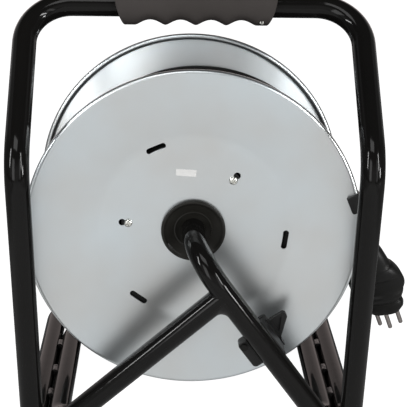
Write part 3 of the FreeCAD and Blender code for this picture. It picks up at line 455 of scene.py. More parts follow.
# %% Painted weld metal
weld = Finish("painted_weld", (0.012, 0.012, 0.013), roughness=0.22)
texture = weld.group(cloudy_grain, Cloud_Scale=260.0, Grain_Scale=900.0)
weld.dress(weld.tone(texture.outputs["Cloud"], (0.008, 0.008, 0.009), (0.020, 0.018, 0.017)),
           weld.bump(texture.outputs["Cloud"], 0.7, 0.0012))
print("weld", weld.material.name)

# %% [markdown]
# The drum's flanges are spun from zinc-plated sheet. The plating is a satin mirror with a
# cool tone. It is never quite flat, so a very shallow, wide bump lets the reflections
# drift, and a fine grain blurs them.

# %% Zinc-plated sheet
zinc = Finish("zinc_sheet", (0.60, 0.63, 0.65), metallic=1.0, roughness=0.34)
texture = zinc.group(cloudy_grain, Cloud_Scale=11.0, Grain_Scale=700.0)
marks = zinc.group(rub_marks, Scale=26.0, Share=0.64)
cloudy_soft = zinc.scaled(texture.outputs["Cloud"], 0.10, 0.33)
wide = zinc.bump(texture.outputs["Cloud"], 0.10, 0.004)
zinc.dress(zinc.tone(texture.outputs["Cloud"], (0.58, 0.585, 0.575), (0.62, 0.675, 0.70), 2.2),
           zinc.bump(texture.outputs["Grain"], 0.08, 0.0002, wide),
           zinc.scaled(marks.outputs["Mask"], 0.06, cloudy_soft))
print("zinc", zinc.material.name)

# %% [markdown]
# Screws, bolts, washers, springs, pins and contacts are small bright metal parts. They
# share one recipe: a metal with a cloudy tone and a fine grain, each with its own colour
# and its own softness.

# %% Small metal parts
metal_grain = 0.15


def small_metal(name, color, roughness):
    metal = Finish(name, color, metallic=1.0, roughness=roughness)
    texture = metal.group(cloudy_grain, Cloud_Scale=160.0, Grain_Scale=2400.0)
    metal.dress(metal.tone(texture.outputs["Cloud"], shade(color, 0.80), shade(color, 1.15)),
                metal.bump(texture.outputs["Grain"], metal_grain, 0.0001),
                metal.scaled(texture.outputs["Cloud"], 0.25, roughness))
    return metal


zinc_screw = small_metal("zinc_screw", (0.66, 0.66, 0.62), 0.28)
bolt_steel = small_metal("bolt_steel", (0.52, 0.53, 0.55), 0.36)
spring_steel = small_metal("spring_steel", (0.42, 0.42, 0.44), 0.30)
brass = small_metal("contact_brass", (0.78, 0.58, 0.26), 0.25)
nickel = small_metal("pin_nickel", (0.46, 0.42, 0.40), 0.10)
print("metals", [f.material.name for f in (zinc_screw, bolt_steel, spring_steel, brass, nickel)])

# %% [markdown]
# The black plastics and rubbers differ in how soft their shine is and in how coarse their
# skin is. The hub bush is polished by the mould, the grip is dull and a little brown, and
# the cable's rubber is dull with the dust of the drum on it.

# %% Plastics and rubbers
shine_drift = 0.12                     # how much a cloud changes the roughness


def moulded(name, dark, light, roughness, skin_scale, skin):
    plastic = Finish(name, dark, roughness=roughness)
    plastic.shader.inputs["Specular IOR Level"].default_value = 0.2
    texture = plastic.group(cloudy_grain, Cloud_Scale=38.0, Grain_Scale=1500.0)
    pebbles = plastic.group(moulded_skin, Scale=skin_scale)
    plastic.dress(plastic.tone(texture.outputs["Cloud"], dark, light),
                  plastic.bump(pebbles.outputs["Height"], skin, 0.0003),
                  plastic.scaled(texture.outputs["Cloud"], shine_drift, roughness))
    return plastic


black_plastic = moulded("black_plastic", (0.007, 0.007, 0.007), (0.013, 0.013, 0.013),
                        0.40, 1500.0, 0.18)
bush_plastic = moulded("bush_plastic", (0.008, 0.008, 0.007), (0.014, 0.013, 0.011),
                       0.32, 1900.0, 0.08)
grip_plastic = moulded("grip_plastic", (0.036, 0.032, 0.030), (0.050, 0.045, 0.043),
                       0.62, 1100.0, 0.20)
grip_plastic.shader.inputs["Specular IOR Level"].default_value = 0.06
cable_rubber = moulded("cable_rubber", (0.008, 0.008, 0.008), (0.016, 0.016, 0.015),
                       0.52, 1700.0, 0.25)
plug_rubber = moulded("plug_rubber", (0.003, 0.003, 0.003), (0.007, 0.007, 0.006),
                      0.42, 1300.0, 0.20)
terminal_plastic = moulded("terminal_plastic", (0.66, 0.65, 0.60), (0.78, 0.77, 0.72),
                           0.45, 1500.0, 0.15)
button_plastic = moulded("button_plastic", (0.42, 0.03, 0.02), (0.56, 0.05, 0.03),
                         0.30, 1700.0, 0.08)
print("plastics", [f.material.name for f in (black_plastic, bush_plastic, grip_plastic, cable_rubber,
                                             plug_rubber, terminal_plastic, button_plastic)])

# %% [markdown]
# The little label is a plain film. Its face is matt and pale, so it needs only a soft cloud
# in its tone and the finest grain.

# %% Label film
film = Finish("label_film", (0.62, 0.62, 0.61), roughness=0.6)
texture = film.group(cloudy_grain, Cloud_Scale=140.0, Grain_Scale=2500.0)
film.dress(film.tone(texture.outputs["Cloud"], (0.58, 0.58, 0.57), (0.66, 0.66, 0.65)),
           film.bump(texture.outputs["Grain"], 0.05, 0.0001))
print("film", film.material.name)

# %% [markdown]
# Every CAD node that stays in view takes the finish of its own stuff. The record names a
# material slot for each node, and one table turns that slot into a finish made here. The
# welds keep their ripples, and the brake's screw and pin were sprayed with the stand.

# %% Dress the CAD nodes
finish_of_slot = {
    "black_paint": paint, "zinc_sheet": zinc, "zinc_screw": zinc_screw, "bolt_steel": bolt_steel,
    "spring_steel": spring_steel, "black_plastic": black_plastic, "grip_plastic": grip_plastic,
    "cable_rubber": cable_rubber, "plug_rubber": plug_rubber, "contact_brass": brass,
    "pin_nickel": nickel, "terminal_plastic": terminal_plastic, "button_plastic": button_plastic,
    "label_film": film,
}
slot_of_node = {part["node"]: part["material_slot"] for part in frame["record"]["subparts"]}
for node, piece in frame["nodes"].items():
    finish = finish_of_slot[slot_of_node[node]]
    if node.endswith(("weld", "welds")):
        finish = weld
    if node in ("saddle_screw", "brake_pin"):
        finish = paint
    for slot in piece.material_slots:
        slot.material = finish.material
wound_cable.data.materials.append(cable_rubber.material)
tail_cable.data.materials.append(cable_rubber.material)
print("dressed", len(frame["nodes"]))

# %% [markdown]
# ## Helpers for new pieces
#
# A new piece starts as a bmesh. When it is ready it becomes an object at the origin, takes its finish,
# rides on a body of the frame, and hides the CAD nodes that it stands for.

# %% Helpers for meshes


def mesh_of(bm, name):
    """A new mesh from a bmesh, which is freed."""
    mesh = bpy.data.meshes.new(name)
    bm.to_mesh(mesh)
    bm.free()
    return mesh


def verts_of(made):
    """The vertices in what a bmesh operator made."""
    return [g for g in made["geom"] if isinstance(g, bmesh.types.BMVert)]


def finished(bm, name, finish, body, instead_of, sharp=38, flat_faces=False):
    """Turns a bmesh into a piece. sharp is the angle past which an edge stays hard."""
    bmesh.ops.recalc_face_normals(bm, faces=bm.faces)
    mesh = mesh_of(bm, name)
    mesh.polygons.foreach_set("use_smooth", [True] * len(mesh.polygons))
    mesh.set_sharp_from_angle(angle=math.radians(sharp))
    mesh.materials.append(finish.material)
    piece = placed(name, mesh)
    if flat_faces:
        even = piece.modifiers.new("even_normals", "WEIGHTED_NORMAL")
        even.keep_sharp = True
    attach(piece, body)
    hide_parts(*instead_of)
    print(name, "faces", len(mesh.polygons))
    return piece


# %% [markdown]
# Many pieces are turned: the flanges, the bush and the knob. A lathe cuts an outline, so
# the outline is drawn as a face, the corners that are soft on the real piece are bevelled
# as points, and the face's edges are spun once round the axis. A rolled bead is a small
# spin of its own: one corner of the outline goes round the bead's middle.

# %% A lathe
bead_steps, corner_steps = 22, 6


def lathe(outline, soft, steps, centre=(0, axle_height), roll=None):
    """Spins a closed outline of (radius, y) in mm. soft gives point number: rounding.
    roll is (point number, middle of the bead, angle): that point draws the bead."""
    bm = bmesh.new()
    x, z = centre
    points = [bm.verts.new(Vector((x + r, y, z)) * mm) for r, y in outline]
    leave = list(points)
    if roll:
        number, (r, y), turn = roll
        rolled = bmesh.ops.spin(bm, geom=[points[number]], cent=Vector((x + r, y, z)) * mm,
                                axis=(0, 0, 1), angle=turn, steps=bead_steps)
        leave[number] = next(v for v in rolled["geom_last"] if isinstance(v, bmesh.types.BMVert))
    for k, start in enumerate(leave):
        bm.edges.new((start, points[(k + 1) % len(points)]))
    bmesh.ops.contextual_create(bm, geom=bm.edges[:])
    for number, rounding in soft.items():
        bmesh.ops.bevel(bm, geom=[points[number]], offset=rounding * mm, offset_type="OFFSET",
                        segments=corner_steps, profile=0.5, affect="VERTICES", clamp_overlap=True,
                        material=-1)
    bmesh.ops.delete(bm, geom=list(bm.faces), context="FACES_ONLY")
    bmesh.ops.spin(bm, geom=bm.verts[:] + bm.edges[:], cent=Vector((x, 0, z)) * mm, axis=(0, 1, 0),
                   angle=math.tau, steps=steps, use_merge=True)
    bmesh.ops.remove_doubles(bm, verts=bm.verts, dist=0.001 * mm)
    return bm


print("lathe ready")

# %% [markdown]
# Moulded pieces have no knife edges. A copy of the CAD solid is merged into one skin, the
# triangles of each flat face are joined, and every edge that is hard gets a small round.

# %% Soften a CAD solid
merge_distance, flat_angle, hard_angle = 0.002, 0.8, 32


def round_edges(bm, edges, rounding, segments):
    bmesh.ops.bevel(bm, geom=edges, offset=rounding * mm, offset_type="OFFSET", segments=segments,
                    profile=0.5, affect="EDGES", clamp_overlap=True, material=-1)


def softened(node, name, body, rounding):
    """A black moulding: a CAD node's copy with rounded edges."""
    bm = bmesh.new()
    bm.from_mesh(frame["nodes"][node].data)
    bmesh.ops.remove_doubles(bm, verts=bm.verts, dist=merge_distance * mm)
    bmesh.ops.dissolve_limit(bm, angle_limit=math.radians(flat_angle), verts=bm.verts[:],
                             edges=bm.edges[:])
    edges = [e for e in bm.edges
             if len(e.link_faces) == 2 and e.calc_face_angle() > math.radians(hard_angle)]
    round_edges(bm, edges, rounding, 2)
    finished(bm, name, black_plastic, body, [node], flat_faces=True)


print("softening ready")

# %% [markdown]
# ## The flanges
#
# Each flange is a shallow dish with its rim rolled into a bead, so that nobody is cut by
# it. The bead curls towards the cable, so the outside is smooth up to the rim, and the
# inside shows a crease. Stamped sheet bends with a radius, so the edge between the flat
# middle and the cone is soft.

# %% Flange sizes
flange_r, bead_r, dish, flat_r, sheet = 138.2, 2.8, 9.3, 80.6, 1.0
drum_width = 133.0
near_flat, far_flat = near_rim_y + dish, 51.4
far_rim_y = near_rim_y + drum_width
bead_mid = flange_r - bead_r
slope = math.atan2(dish, bead_mid - flat_r) + math.asin(bead_r / math.hypot(dish, bead_mid - flat_r))
bend_softness, flange_steps = 3.5, 180


def dished_sheet(inner_r, flat_y, rim_y):
    """Spins a dished sheet. Its outer face runs into the bead, which curls to the cable."""
    inward = 1 if flat_y > rim_y else -1
    bead_start = (bead_mid - bead_r * math.sin(slope), rim_y - inward * bead_r * math.cos(slope))
    skew = sheet * math.tan(slope / 2)
    outline = [(inner_r, flat_y), (flat_r, flat_y), bead_start,
               (flat_r + skew, flat_y + inward * sheet), (inner_r, flat_y + inward * sheet)]
    bead_turn = inward * (math.tau - math.acos((bead_r - sheet) / bead_r))
    return lathe(outline, {1: bend_softness, 3: bend_softness}, flange_steps,
                 roll=(2, (bead_mid, rim_y), bead_turn))


print("cone slope", round(math.degrees(slope), 1), "degrees")

# %% [markdown]
# The near flange has three slots on the core's circle, for the tabs of the core, and three
# keyholes for the screws that hold it on. They are cut with a boolean, which leaves the
# clean walls of a punched hole.

# %% Spin the near flange
hub_hole_r = 15.1
near_bm = dished_sheet(hub_hole_r, near_flat, near_rim_y)
punches = bmesh.new()
slot_circle_r, slot_length, slot_width, slot_angle = 77.0, 16.8, 5.0, 113.5
screw_circle_r, screw_angle, keyhole_shift, keyhole_r, screw_hole_r = 54.2, 53.5, 5.0, 2.9, 2.2
punch_depth = 8.0


def punch(radius, angle, hole_r, stretch=0.0):
    """A round punch through the flat of the near flange, or a long one if stretch is given."""
    made = bmesh.ops.create_circle(punches, cap_ends=True, radius=hole_r * mm, segments=28)
    ring = made["verts"]
    for v in ring:
        v.co.y += math.copysign(stretch / 2 * mm, v.co.y)
    turn = Matrix.Rotation(math.radians(90), 4, "X")
    bmesh.ops.transform(punches, matrix=turn, verts=ring)
    face = next(f for f in punches.faces if f.verts[0] in ring)
    grown = bmesh.ops.extrude_face_region(punches, geom=[face])
    lifted = verts_of(grown)
    bmesh.ops.translate(punches, verts=lifted, vec=(0, punch_depth * mm, 0))
    place = on_drum(radius, angle, near_flat - punch_depth / 2)
    aim = Matrix.Rotation(math.radians(-angle), 4, "Y")
    bmesh.ops.transform(punches, matrix=Matrix.Translation(place) @ aim, verts=ring + lifted)


for k in range(3):
    punch(slot_circle_r, slot_angle + 120 * k, slot_width / 2, slot_length - slot_width)
    punch(screw_circle_r + keyhole_shift, screw_angle + 120 * k, keyhole_r)
    punch(screw_circle_r, screw_angle + 120 * k, screw_hole_r)
bmesh.ops.recalc_face_normals(punches, faces=punches.faces)
print("punch faces", len(punches.faces))

# %% Punch the holes


def cut_away(bm, tools, name):
    """The bmesh less the tools, worked out by a boolean modifier."""
    bmesh.ops.recalc_face_normals(bm, faces=bm.faces)
    body = placed(name + "_body", mesh_of(bm, name + "_body"))
    cutter = placed(name + "_tools", mesh_of(tools, name + "_tools"))
    cut = body.modifiers.new("cut", "BOOLEAN")
    cut.operation = "DIFFERENCE"
    cut.solver = "EXACT"
    cut.use_self = True
    cut.object = cutter
    depsgraph = bpy.context.evaluated_depsgraph_get()
    result = bmesh.new()
    result.from_mesh(body.evaluated_get(depsgraph).to_mesh())
    for thing in (body, cutter):
        bpy.data.objects.remove(thing)
    return result


finished(cut_away(near_bm, punches, "near"), "near_flange_sheet", zinc, "drum",
         ["near_flange"])

# %% Spin the far flange
socket_opening_r = 71.0
far_bm = dished_sheet(socket_opening_r, far_flat, far_rim_y)
finished(far_bm, "far_flange_sheet", zinc, "drum", ["far_flange"])

# %% [markdown]
# ## The hub bush
#
# The drum turns on the stand's own tube in a dished black bush. It is a moulding with a
# rolled lip and a deep hollow that swallows the tube, so a soft ring of light lies in it.

# %% Turn the hub bush
tube_r = 9.5
bush_bore_r, bush_neck_r, bush_lip_r = tube_r + 0.05, 15.0, 26.7
hub_face, lip_back, neck_end = near_flat - 3.6, near_flat - 0.02, near_flat + 26.0
bush_bm = lathe([
    (bush_bore_r, near_flat + 2.0), (13.0, near_flat + 1.2), (18.5, near_flat - 1.0),
    (23.2, hub_face + 1.1), (24.4, hub_face), (26.0, hub_face), (bush_lip_r, hub_face + 0.9),
    (bush_lip_r, lip_back), (bush_neck_r, lip_back), (bush_neck_r, neck_end), (bush_bore_r, neck_end),
], {2: 4.0, 3: 1.2, 4: 0.5, 5: 0.5, 6: 0.4, 1: 1.5}, 96)
finished(bush_bm, "hub_bush", bush_plastic, "drum", ["near_bush"])

# %% [markdown]
# ## Pieces made by extruding a ring
#
# The grip and the plug are mouldings whose section changes along their length. A ring is
# extruded from section to section, and each new ring takes the size of its section. Every
# vertex remembers its angle round the ring, so the skin doesn't twist.

# %% A skin through sections


def oval(wide, thick, square, below=None):
    """Where an angle lies on a section: half sizes, and how square the section is. 2 is an
    ellipse. below is the lower half size where it differs."""
    def place(turn):
        across, rise = math.cos(turn), math.sin(turn)
        depth = below if below is not None and rise < 0 else thick
        return (math.copysign(abs(across) ** (2 / square), across) * wide,
                math.copysign(abs(rise) ** (2 / square), rise) * depth)
    return place


def skin_through(sections, around):
    """sections are (matrix in metres, outline). A section is drawn in its own X and Y."""
    bm = bmesh.new()
    angle_of = bm.verts.layers.float.new("angle")
    ring = bmesh.ops.create_circle(bm, cap_ends=True, radius=1.0, segments=around)["verts"]
    for v in ring:
        v[angle_of] = math.atan2(v.co.y, v.co.x)
    for k, (matrix, outline) in enumerate(sections):
        if k:
            end = next(f for f in bm.faces if all(v in ring for v in f.verts))
            grown = bmesh.ops.extrude_face_region(bm, geom=[end])
            ring = verts_of(grown)
            if k > 1:
                bmesh.ops.delete(bm, geom=[end], context="FACES_ONLY")
        for v in ring:
            across, rise = outline(v[angle_of])
            v.co = matrix @ Vector((across * mm, rise * mm, 0))
    return bm


def frame_at(middle, wide_way, thick_way, along):
    """The matrix of a section, from its middle in metres and its three ways."""
    turn = Matrix((wide_way, thick_way, along)).transposed()
    return Matrix.Translation(middle) @ turn.to_4x4()


print("skin ready")

# %% [markdown]
# ## The grip
#
# The grip is two glass-filled plastic shells round the handle bar, joined by a screw. Its
# underside has four scallops for the fingers. The ring runs along the bar; its lower half
# goes up and down with the scallops, and a shallow groove shows where the shells meet. The
# two ends slant inward toward the lower edge.

# %% Extrude the grip
handle_y, handle_height = -17.2, 352.9
grip_middle, grip_half = 1.1, 61.0
grip_top, grip_crest, grip_valley, grip_wide = 12.5, 15.6, 11.3, 13.5
grip_square, grip_steps = 2.35, 100
scallop_pitch, scallops = 24.6, 4
scallop_reach = scallops * scallop_pitch / 2
crest_soft, crest_power = 0.04, 0.55


def grip_depth(x):
    """How far the underside is below the bar's middle."""
    if abs(x) >= scallop_reach:
        return grip_crest
    wave = 0.5 - 0.5 * math.cos(math.tau * (x + scallop_reach) / scallop_pitch)
    rise = (wave + crest_soft) ** crest_power - crest_soft ** crest_power
    full_rise = (1 + crest_soft) ** crest_power - crest_soft ** crest_power
    return grip_crest - (grip_crest - grip_valley) * rise / full_rise


grip_sections = []
for k in range(grip_steps + 1):
    x = -grip_half + (2 * grip_half) * k / grip_steps
    matrix = frame_at(Vector((grip_middle + x, handle_y, handle_height)) * mm,
                      Vector((0, 1, 0)), Vector((0, 0, 1)), Vector((1, 0, 0)))
    grip_sections.append((matrix, oval(grip_wide, grip_top, grip_square, grip_depth(x))))
grip_bm = skin_through(grip_sections, 64)
print("grip faces", len(grip_bm.faces))

# %% Slant the ends and sink the seam
end_out, end_in, slant_curve = 4.4, 7.2, 1.8
seam_depth, on_seam, beside_seam = 0.7, 0.05, 3.2
side_from, side_push = 0.45, 0.75
for v in grip_bm.verts:
    along, aside = v.co.x / mm - grip_middle, v.co.y / mm - handle_y
    rise = v.co.z / mm - handle_height
    down_share = max(0.0, grip_top - rise) / (grip_top + grip_crest)
    share = max(0.0, (abs(along) - scallop_reach) / (grip_half - scallop_reach))
    outward = math.copysign(share, along)
    v.co.x += (end_out - end_in * down_share ** slant_curve) * outward * mm
    if abs(aside) < on_seam:
        v.co.z -= math.copysign(seam_depth, rise) * mm
    elif abs(aside) < beside_seam:
        v.co.y += math.copysign(side_push * (abs(aside) - side_from), aside) * mm
print("grip slanted and grooved")

# %% Round the ends and bore the grip for the bar
end_rounding, bore_lip, bore_depth, bar_gap = 1.6, 0.5, 6.0, 0.1
bore_r = tube_r + bar_gap


def end_caps(bm):
    """The faces with many corners, at the two ends of a skin."""
    return [f for f in bm.faces if len(f.verts) > 8]


round_edges(grip_bm, [e for cap in end_caps(grip_bm) for e in cap.edges], end_rounding, 4)
for cap in end_caps(grip_bm):
    bmesh.ops.inset_region(grip_bm, faces=[cap], thickness=bore_lip * mm)
    for v in cap.verts:
        off = Vector((v.co.y - handle_y * mm, v.co.z - handle_height * mm))
        off = off.normalized() * bore_r * mm
        v.co.y, v.co.z = handle_y * mm + off.x, handle_height * mm + off.y
    inward = -math.copysign(bore_depth, cap.calc_center_median().x / mm - grip_middle)
    grown = bmesh.ops.extrude_face_region(grip_bm, geom=[cap])
    moved = verts_of(grown)
    bmesh.ops.delete(grip_bm, geom=[cap], context="FACES_ONLY")
    bmesh.ops.translate(grip_bm, verts=moved, vec=(inward * mm, 0, 0))
finished(grip_bm, "grip_shells", grip_plastic, "stand", ["grip_front", "grip_rear"],
         sharp=40)

# %% [markdown]
# ## Pan head screws
#
# The small screws are pan heads with a cross recess. The head and the shank are turned from
# one outline, and the recess is cut by two crossed blades.

# %% A pan head screw


def pan_heads(places, name, body, node, head_r, head_high, shank_r, length):
    """Screws along Y that look forward. places are (x, y of the head's seat, z, turn)."""
    heads, blades = bmesh.new(), bmesh.new()
    blade_long, blade_deep, blade_thick = head_r * 1.05, head_high * 1.5, head_r * 0.22
    crown_r, crown_high, point_r, point_long = head_r * 0.72, head_high * 0.35, 0.4, 1.5
    for x, y, z, turn in places:
        top = y - head_high
        outline = [(0, top), (crown_r, top), (head_r, y - crown_high), (head_r, y), (shank_r, y),
                   (shank_r, y + length - point_long), (point_r, y + length), (0, y + length)]
        turned = lathe(outline, {1: head_r * 0.30, 2: head_high * 0.3}, 40, (x, z))
        heads.from_mesh(mesh_of(turned, name + "_one"))
        for k in range(2):
            matrix = (Matrix.Translation(Vector((x, top, z)) * mm)
                      @ Matrix.Rotation(math.radians(turn + 90 * k), 4, "Y")
                      @ Matrix.Diagonal((blade_long * mm, blade_deep * mm, blade_thick * mm, 1)))
            bmesh.ops.create_cube(blades, size=1.0, matrix=matrix)
    finished(cut_away(heads, blades, name), name, zinc_screw, body, [node], sharp=35)


print("screw helper ready")

# %% The grip's screw and the flange's screws
from_end, from_below, screw_sunk = 8.2, 4.0, 4.5
grip_screw_spot = (grip_middle + grip_half - from_end, handle_y - grip_wide + screw_sunk,
                   handle_height - grip_crest + from_below, 20)
pan_heads([grip_screw_spot], "grip_pan_screw", "stand", "grip_screw",
          head_r=2.1, head_high=1.7, shank_r=1.6, length=14.0)
flange_spots = []
for k in range(3):
    turn = math.radians(screw_angle + 120 * k)
    flange_spots.append((screw_circle_r * math.cos(turn), near_flat,
                         axle_height + screw_circle_r * math.sin(turn), 25 + 50 * k))
pan_heads(flange_spots, "flange_pan_screws", "drum", "flange_screws",
          head_r=3.6, head_high=2.3, shank_r=2.1, length=13.5)

# %% [markdown]
# ## The winding knob
#
# The knob is a waisted turning of black plastic that spins on its bolt. It is turned on the
# lathe from one outline, with a soft shoulder and a domed end that sits in the palm.

# %% Turn the knob
knob_turn, knob_circle_r = math.radians(256.0), 119.5
knob_centre = (knob_circle_r * math.cos(knob_turn), axle_height + knob_circle_r * math.sin(knob_turn))
knob_r, knob_length, knob_bore_r, bore_bottom = 12.5, 31.0, 3.05, 4.0
boss_length, knob_gap = 7.0, 0.3
knob_start = far_rim_y + boss_length + knob_gap
knob_end = knob_start + knob_length
knob_bm = lathe([
    (knob_bore_r, knob_start), (knob_r * 0.72, knob_start), (knob_r * 0.80, knob_start + 1.2),
    (knob_r * 0.655, knob_start + knob_length * 0.28), (knob_r * 0.72, knob_start + knob_length * 0.52),
    (knob_r, knob_start + knob_length * 0.80), (knob_r * 0.98, knob_end - 3.0),
    (knob_r * 0.82, knob_end - 0.6), (knob_r * 0.30, knob_end), (0, knob_end),
    (0, knob_end - bore_bottom), (knob_bore_r, knob_end - bore_bottom),
], {1: 0.5, 2: 0.9, 3: 5.0, 4: 5.0, 5: 3.2, 6: 1.2, 7: 1.6}, 72, knob_centre)
finished(knob_bm, "palm_knob", black_plastic, "winding_knob", ["winding_knob"])

# %% [markdown]
# ## The clip on the rim
#
# A little plastic tab is pushed over the near rim, and holds the cable's end when the reel
# is put away. It is a block with rounded edges, turned to sit square on the rim.

# %% Shape the clip
clip_angle, clip_lean, clip_circle_r, clip_behind_rim = 12.2, 11.0, 134.8, 0.4
clip_wide, clip_deep, clip_tall = 11.6, 12.4, 15.2
corner_rounding, face_rounding = 2.0, 0.7


def runs_back(edge):
    """Whether an edge runs from the front to the back."""
    return abs(edge.verts[0].co.y - edge.verts[1].co.y) > 1 * mm


clip_bm = bmesh.new()
clip_size = Matrix.Diagonal((clip_wide * mm, clip_deep * mm, clip_tall * mm, 1))
bmesh.ops.create_cube(clip_bm, size=1.0, matrix=clip_size)
round_edges(clip_bm, [e for e in clip_bm.edges if runs_back(e)], corner_rounding, 5)
round_edges(clip_bm, [e for e in clip_bm.edges if not runs_back(e)], face_rounding, 3)
clip_place = (Matrix.Translation(on_drum(clip_circle_r, clip_angle, near_rim_y + clip_behind_rim))
              @ Matrix.Rotation(math.radians(-clip_angle - clip_lean), 4, "Y"))
bmesh.ops.transform(clip_bm, matrix=clip_place, verts=clip_bm.verts)
finished(clip_bm, "rim_tab", black_plastic, "drum", ["rim_clip"])

# %% [markdown]
# ## The plug
#
# The plug is one rubber moulding round the pins and the cable's end. From the front: a flat
# collar with cut corners, a waist for the finger tips, wide lobes with a hollow between two
# ridges, a shoulder, and a neck that bends to the cable and ends in soft rings.

# %% The plug's middle line
level_side = plug_way.cross(Vector((0, 1, 0))).normalized()
level_flat = level_side.cross(plug_way).normalized()
roll = math.radians(-17.0)
plug_side = level_side * math.cos(roll) + level_flat * math.sin(roll)
bend_from, bend_over = 63.0, 18.0


def plug_frame(depth):
    """The section's matrix at a depth behind the plug's front face, in mm."""
    first = plug_face - plug_way * bend_from * mm
    last = relief_corner + relief_way * (bend_over / 2) * mm
    if depth <= bend_from:
        middle, back = plug_face - plug_way * depth * mm, -plug_way
    elif depth >= bend_from + bend_over:
        middle = last + relief_way * (depth - bend_from - bend_over) * mm
        back = relief_way
    else:
        share = (depth - bend_from) / bend_over
        middle = first * (1 - share) ** 2 + relief_corner * 2 * share * (1 - share) + last * share ** 2
        back = (relief_corner - first).lerp(last - relief_corner, share).normalized()
    wide = (plug_side - back * plug_side.dot(back)).normalized()
    return frame_at(middle, wide, wide.cross(back), back)


print("plug axis", [round(c, 3) for c in plug_way])

# %% Extrude the plug
# Each section is a depth behind the front face, a half width, a half thickness, a squareness
plug_sizes = [
    (0.0, 11.2, 6.6, 3.0), (0.4, 12.4, 7.6, 3.0), (1.4, 13.6, 8.3, 3.0), (6.2, 17.6, 8.7, 3.0),
    (7.4, 18.0, 8.8, 3.0), (12.6, 17.4, 8.8, 3.0), (13.6, 16.8, 8.4, 3.0), (14.2, 16.2, 7.9, 2.8),
    (15.2, 16.4, 7.9, 2.6), (16.4, 17.6, 9.2, 2.5), (19.0, 19.6, 10.6, 2.5), (22.5, 21.2, 11.6, 2.4),
    (24.6, 21.8, 12.0, 2.3), (25.8, 21.9, 11.6, 2.3), (27.0, 22.4, 10.2, 2.2), (28.6, 23.3, 9.3, 2.2),
    (31.0, 24.3, 8.9, 2.1), (34.0, 24.9, 8.8, 2.1), (37.0, 25.0, 8.9, 2.1), (40.5, 24.6, 9.3, 2.1),
    (43.5, 24.0, 10.0, 2.1), (45.6, 23.5, 11.4, 2.2), (46.8, 23.1, 12.2, 2.2), (48.6, 22.4, 12.5, 2.3),
    (51.5, 21.2, 12.4, 2.3), (54.0, 20.0, 12.0, 2.3), (55.4, 19.2, 11.6, 2.3), (56.2, 18.2, 11.0, 2.3),
    (57.0, 17.2, 10.6, 2.3), (60.0, 16.5, 10.3, 2.2), (66.0, 15.4, 9.9, 2.1), (72.0, 14.2, 9.4, 2.1),
]
# Each soft ring is four sections: how far on they are, and how much narrower and thinner
ring_steps = [(0.0, 0.0, 0.0), (1.9, 0.6, 0.2), (2.1, 1.6, 0.9), (2.7, 1.6, 0.9)]
rings, ring_pitch, rings_from, cable_end, cable_end_r = 5, 2.9, 75.0, 90.0, 5.6
ring_wide, ring_thick, narrowing, thinning = 13.4, 9.0, 1.35, 0.48
for k in range(rings):
    start = rings_from + ring_pitch * k
    wide, thick = ring_wide - narrowing * k, ring_thick - thinning * k
    plug_sizes += [(start + on, wide - less_wide, thick - less_thick, 2.0)
                   for on, less_wide, less_thick in ring_steps]
plug_sizes.append((cable_end, cable_end_r, cable_end_r, 2.0))
plug_bm = skin_through([(plug_frame(depth), oval(wide, thick, square))
                        for depth, wide, thick, square in plug_sizes], 56)
plug = finished(plug_bm, "plug_moulding", plug_rubber, "stand",
                ["plug_body", "plug_collar"], sharp=50)

# %% [markdown]
# The tail is a rubber cord as well. It leaves the last turn and hangs down to the plug, so
# the plug's moulding and its three solid pins go where the cord's end goes.

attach(tail_cable, "stand")
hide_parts("cable_tail")

# %% [markdown]
# ## The welded joint of the struts
#
# The branch tube is welded to the main strut, and the weld is dressed and painted, so the
# corner below it is one smooth hollow curve. A ball that rolls in the corner and touches
# both tubes draws such a curve: its middle runs on the crossing of two fatter tubes, and
# an arc of the ball between its two touching points is the section of the fillet.

# %% Roll the fillets
runner_aside, foot_gap, branch_share = 134.6, 0.2, 0.216
top_behind_knee, foot_behind_knee = 7.5, 16.2
strut_top = Vector((0, knee_y + top_behind_knee, axle_height))
strut_foot = Vector((runner_aside - 2 * tube_r - foot_gap, knee_y + foot_behind_knee, tube_r))
strut_way = (strut_foot - strut_top).normalized()
joint = strut_top + (strut_foot - strut_top) * branch_share
branch_foot = Vector((-strut_foot.x, strut_foot.y, strut_foot.z))
branch_way = (branch_foot - joint).normalized()
joint_up = strut_way.cross(branch_way).normalized()
fillet_steps, arc_steps, end_turn = 40, 14, 2


def fillet(ball_r, main_way):
    """The hollow of a rolling ball between the branch and one side of the main strut."""
    fat_r = tube_r + ball_r
    halfway = (main_way + branch_way).normalized()
    spread = math.sin(math.acos(max(-1.0, min(1.0, main_way.dot(branch_way)))) / 2)
    bm = bmesh.new()
    order = bm.verts.layers.int.new("order")
    row = [bm.verts.new() for k in range(arc_steps + 1)]
    for k, v in enumerate(row):
        v[order] = k
    edges = [bm.edges.new(pair) for pair in zip(row, row[1:])]
    for step in range(fillet_steps + 1):
        turn = math.radians(end_turn + (180 - 2 * end_turn) * step / fillet_steps)
        rise, reach = fat_r * math.cos(turn), fat_r * math.sin(turn) / spread
        middle = joint + joint_up * rise + halfway * reach
        feet = [joint + way * (middle - joint).dot(way) for way in (main_way, branch_way)]
        first, last = ((foot - middle).normalized() for foot in feet)
        if step:
            grown = bmesh.ops.extrude_edge_only(bm, edges=edges)
            row = verts_of(grown)
            fresh = set(row)
            edges = [g for g in grown["geom"]
                     if isinstance(g, bmesh.types.BMEdge) and set(g.verts) <= fresh]
        for v in row:
            v.co = (middle + first.slerp(last, v[order] / arc_steps) * ball_r) * mm
    return bm


low_ball_r, high_ball_r = 7.4, 2.2
low_fillet = fillet(low_ball_r, strut_way)
low_fillet.from_mesh(mesh_of(fillet(high_ball_r, -strut_way), "high_fillet"))
finished(low_fillet, "joint_fillet", paint, "stand", ["branch_weld"])

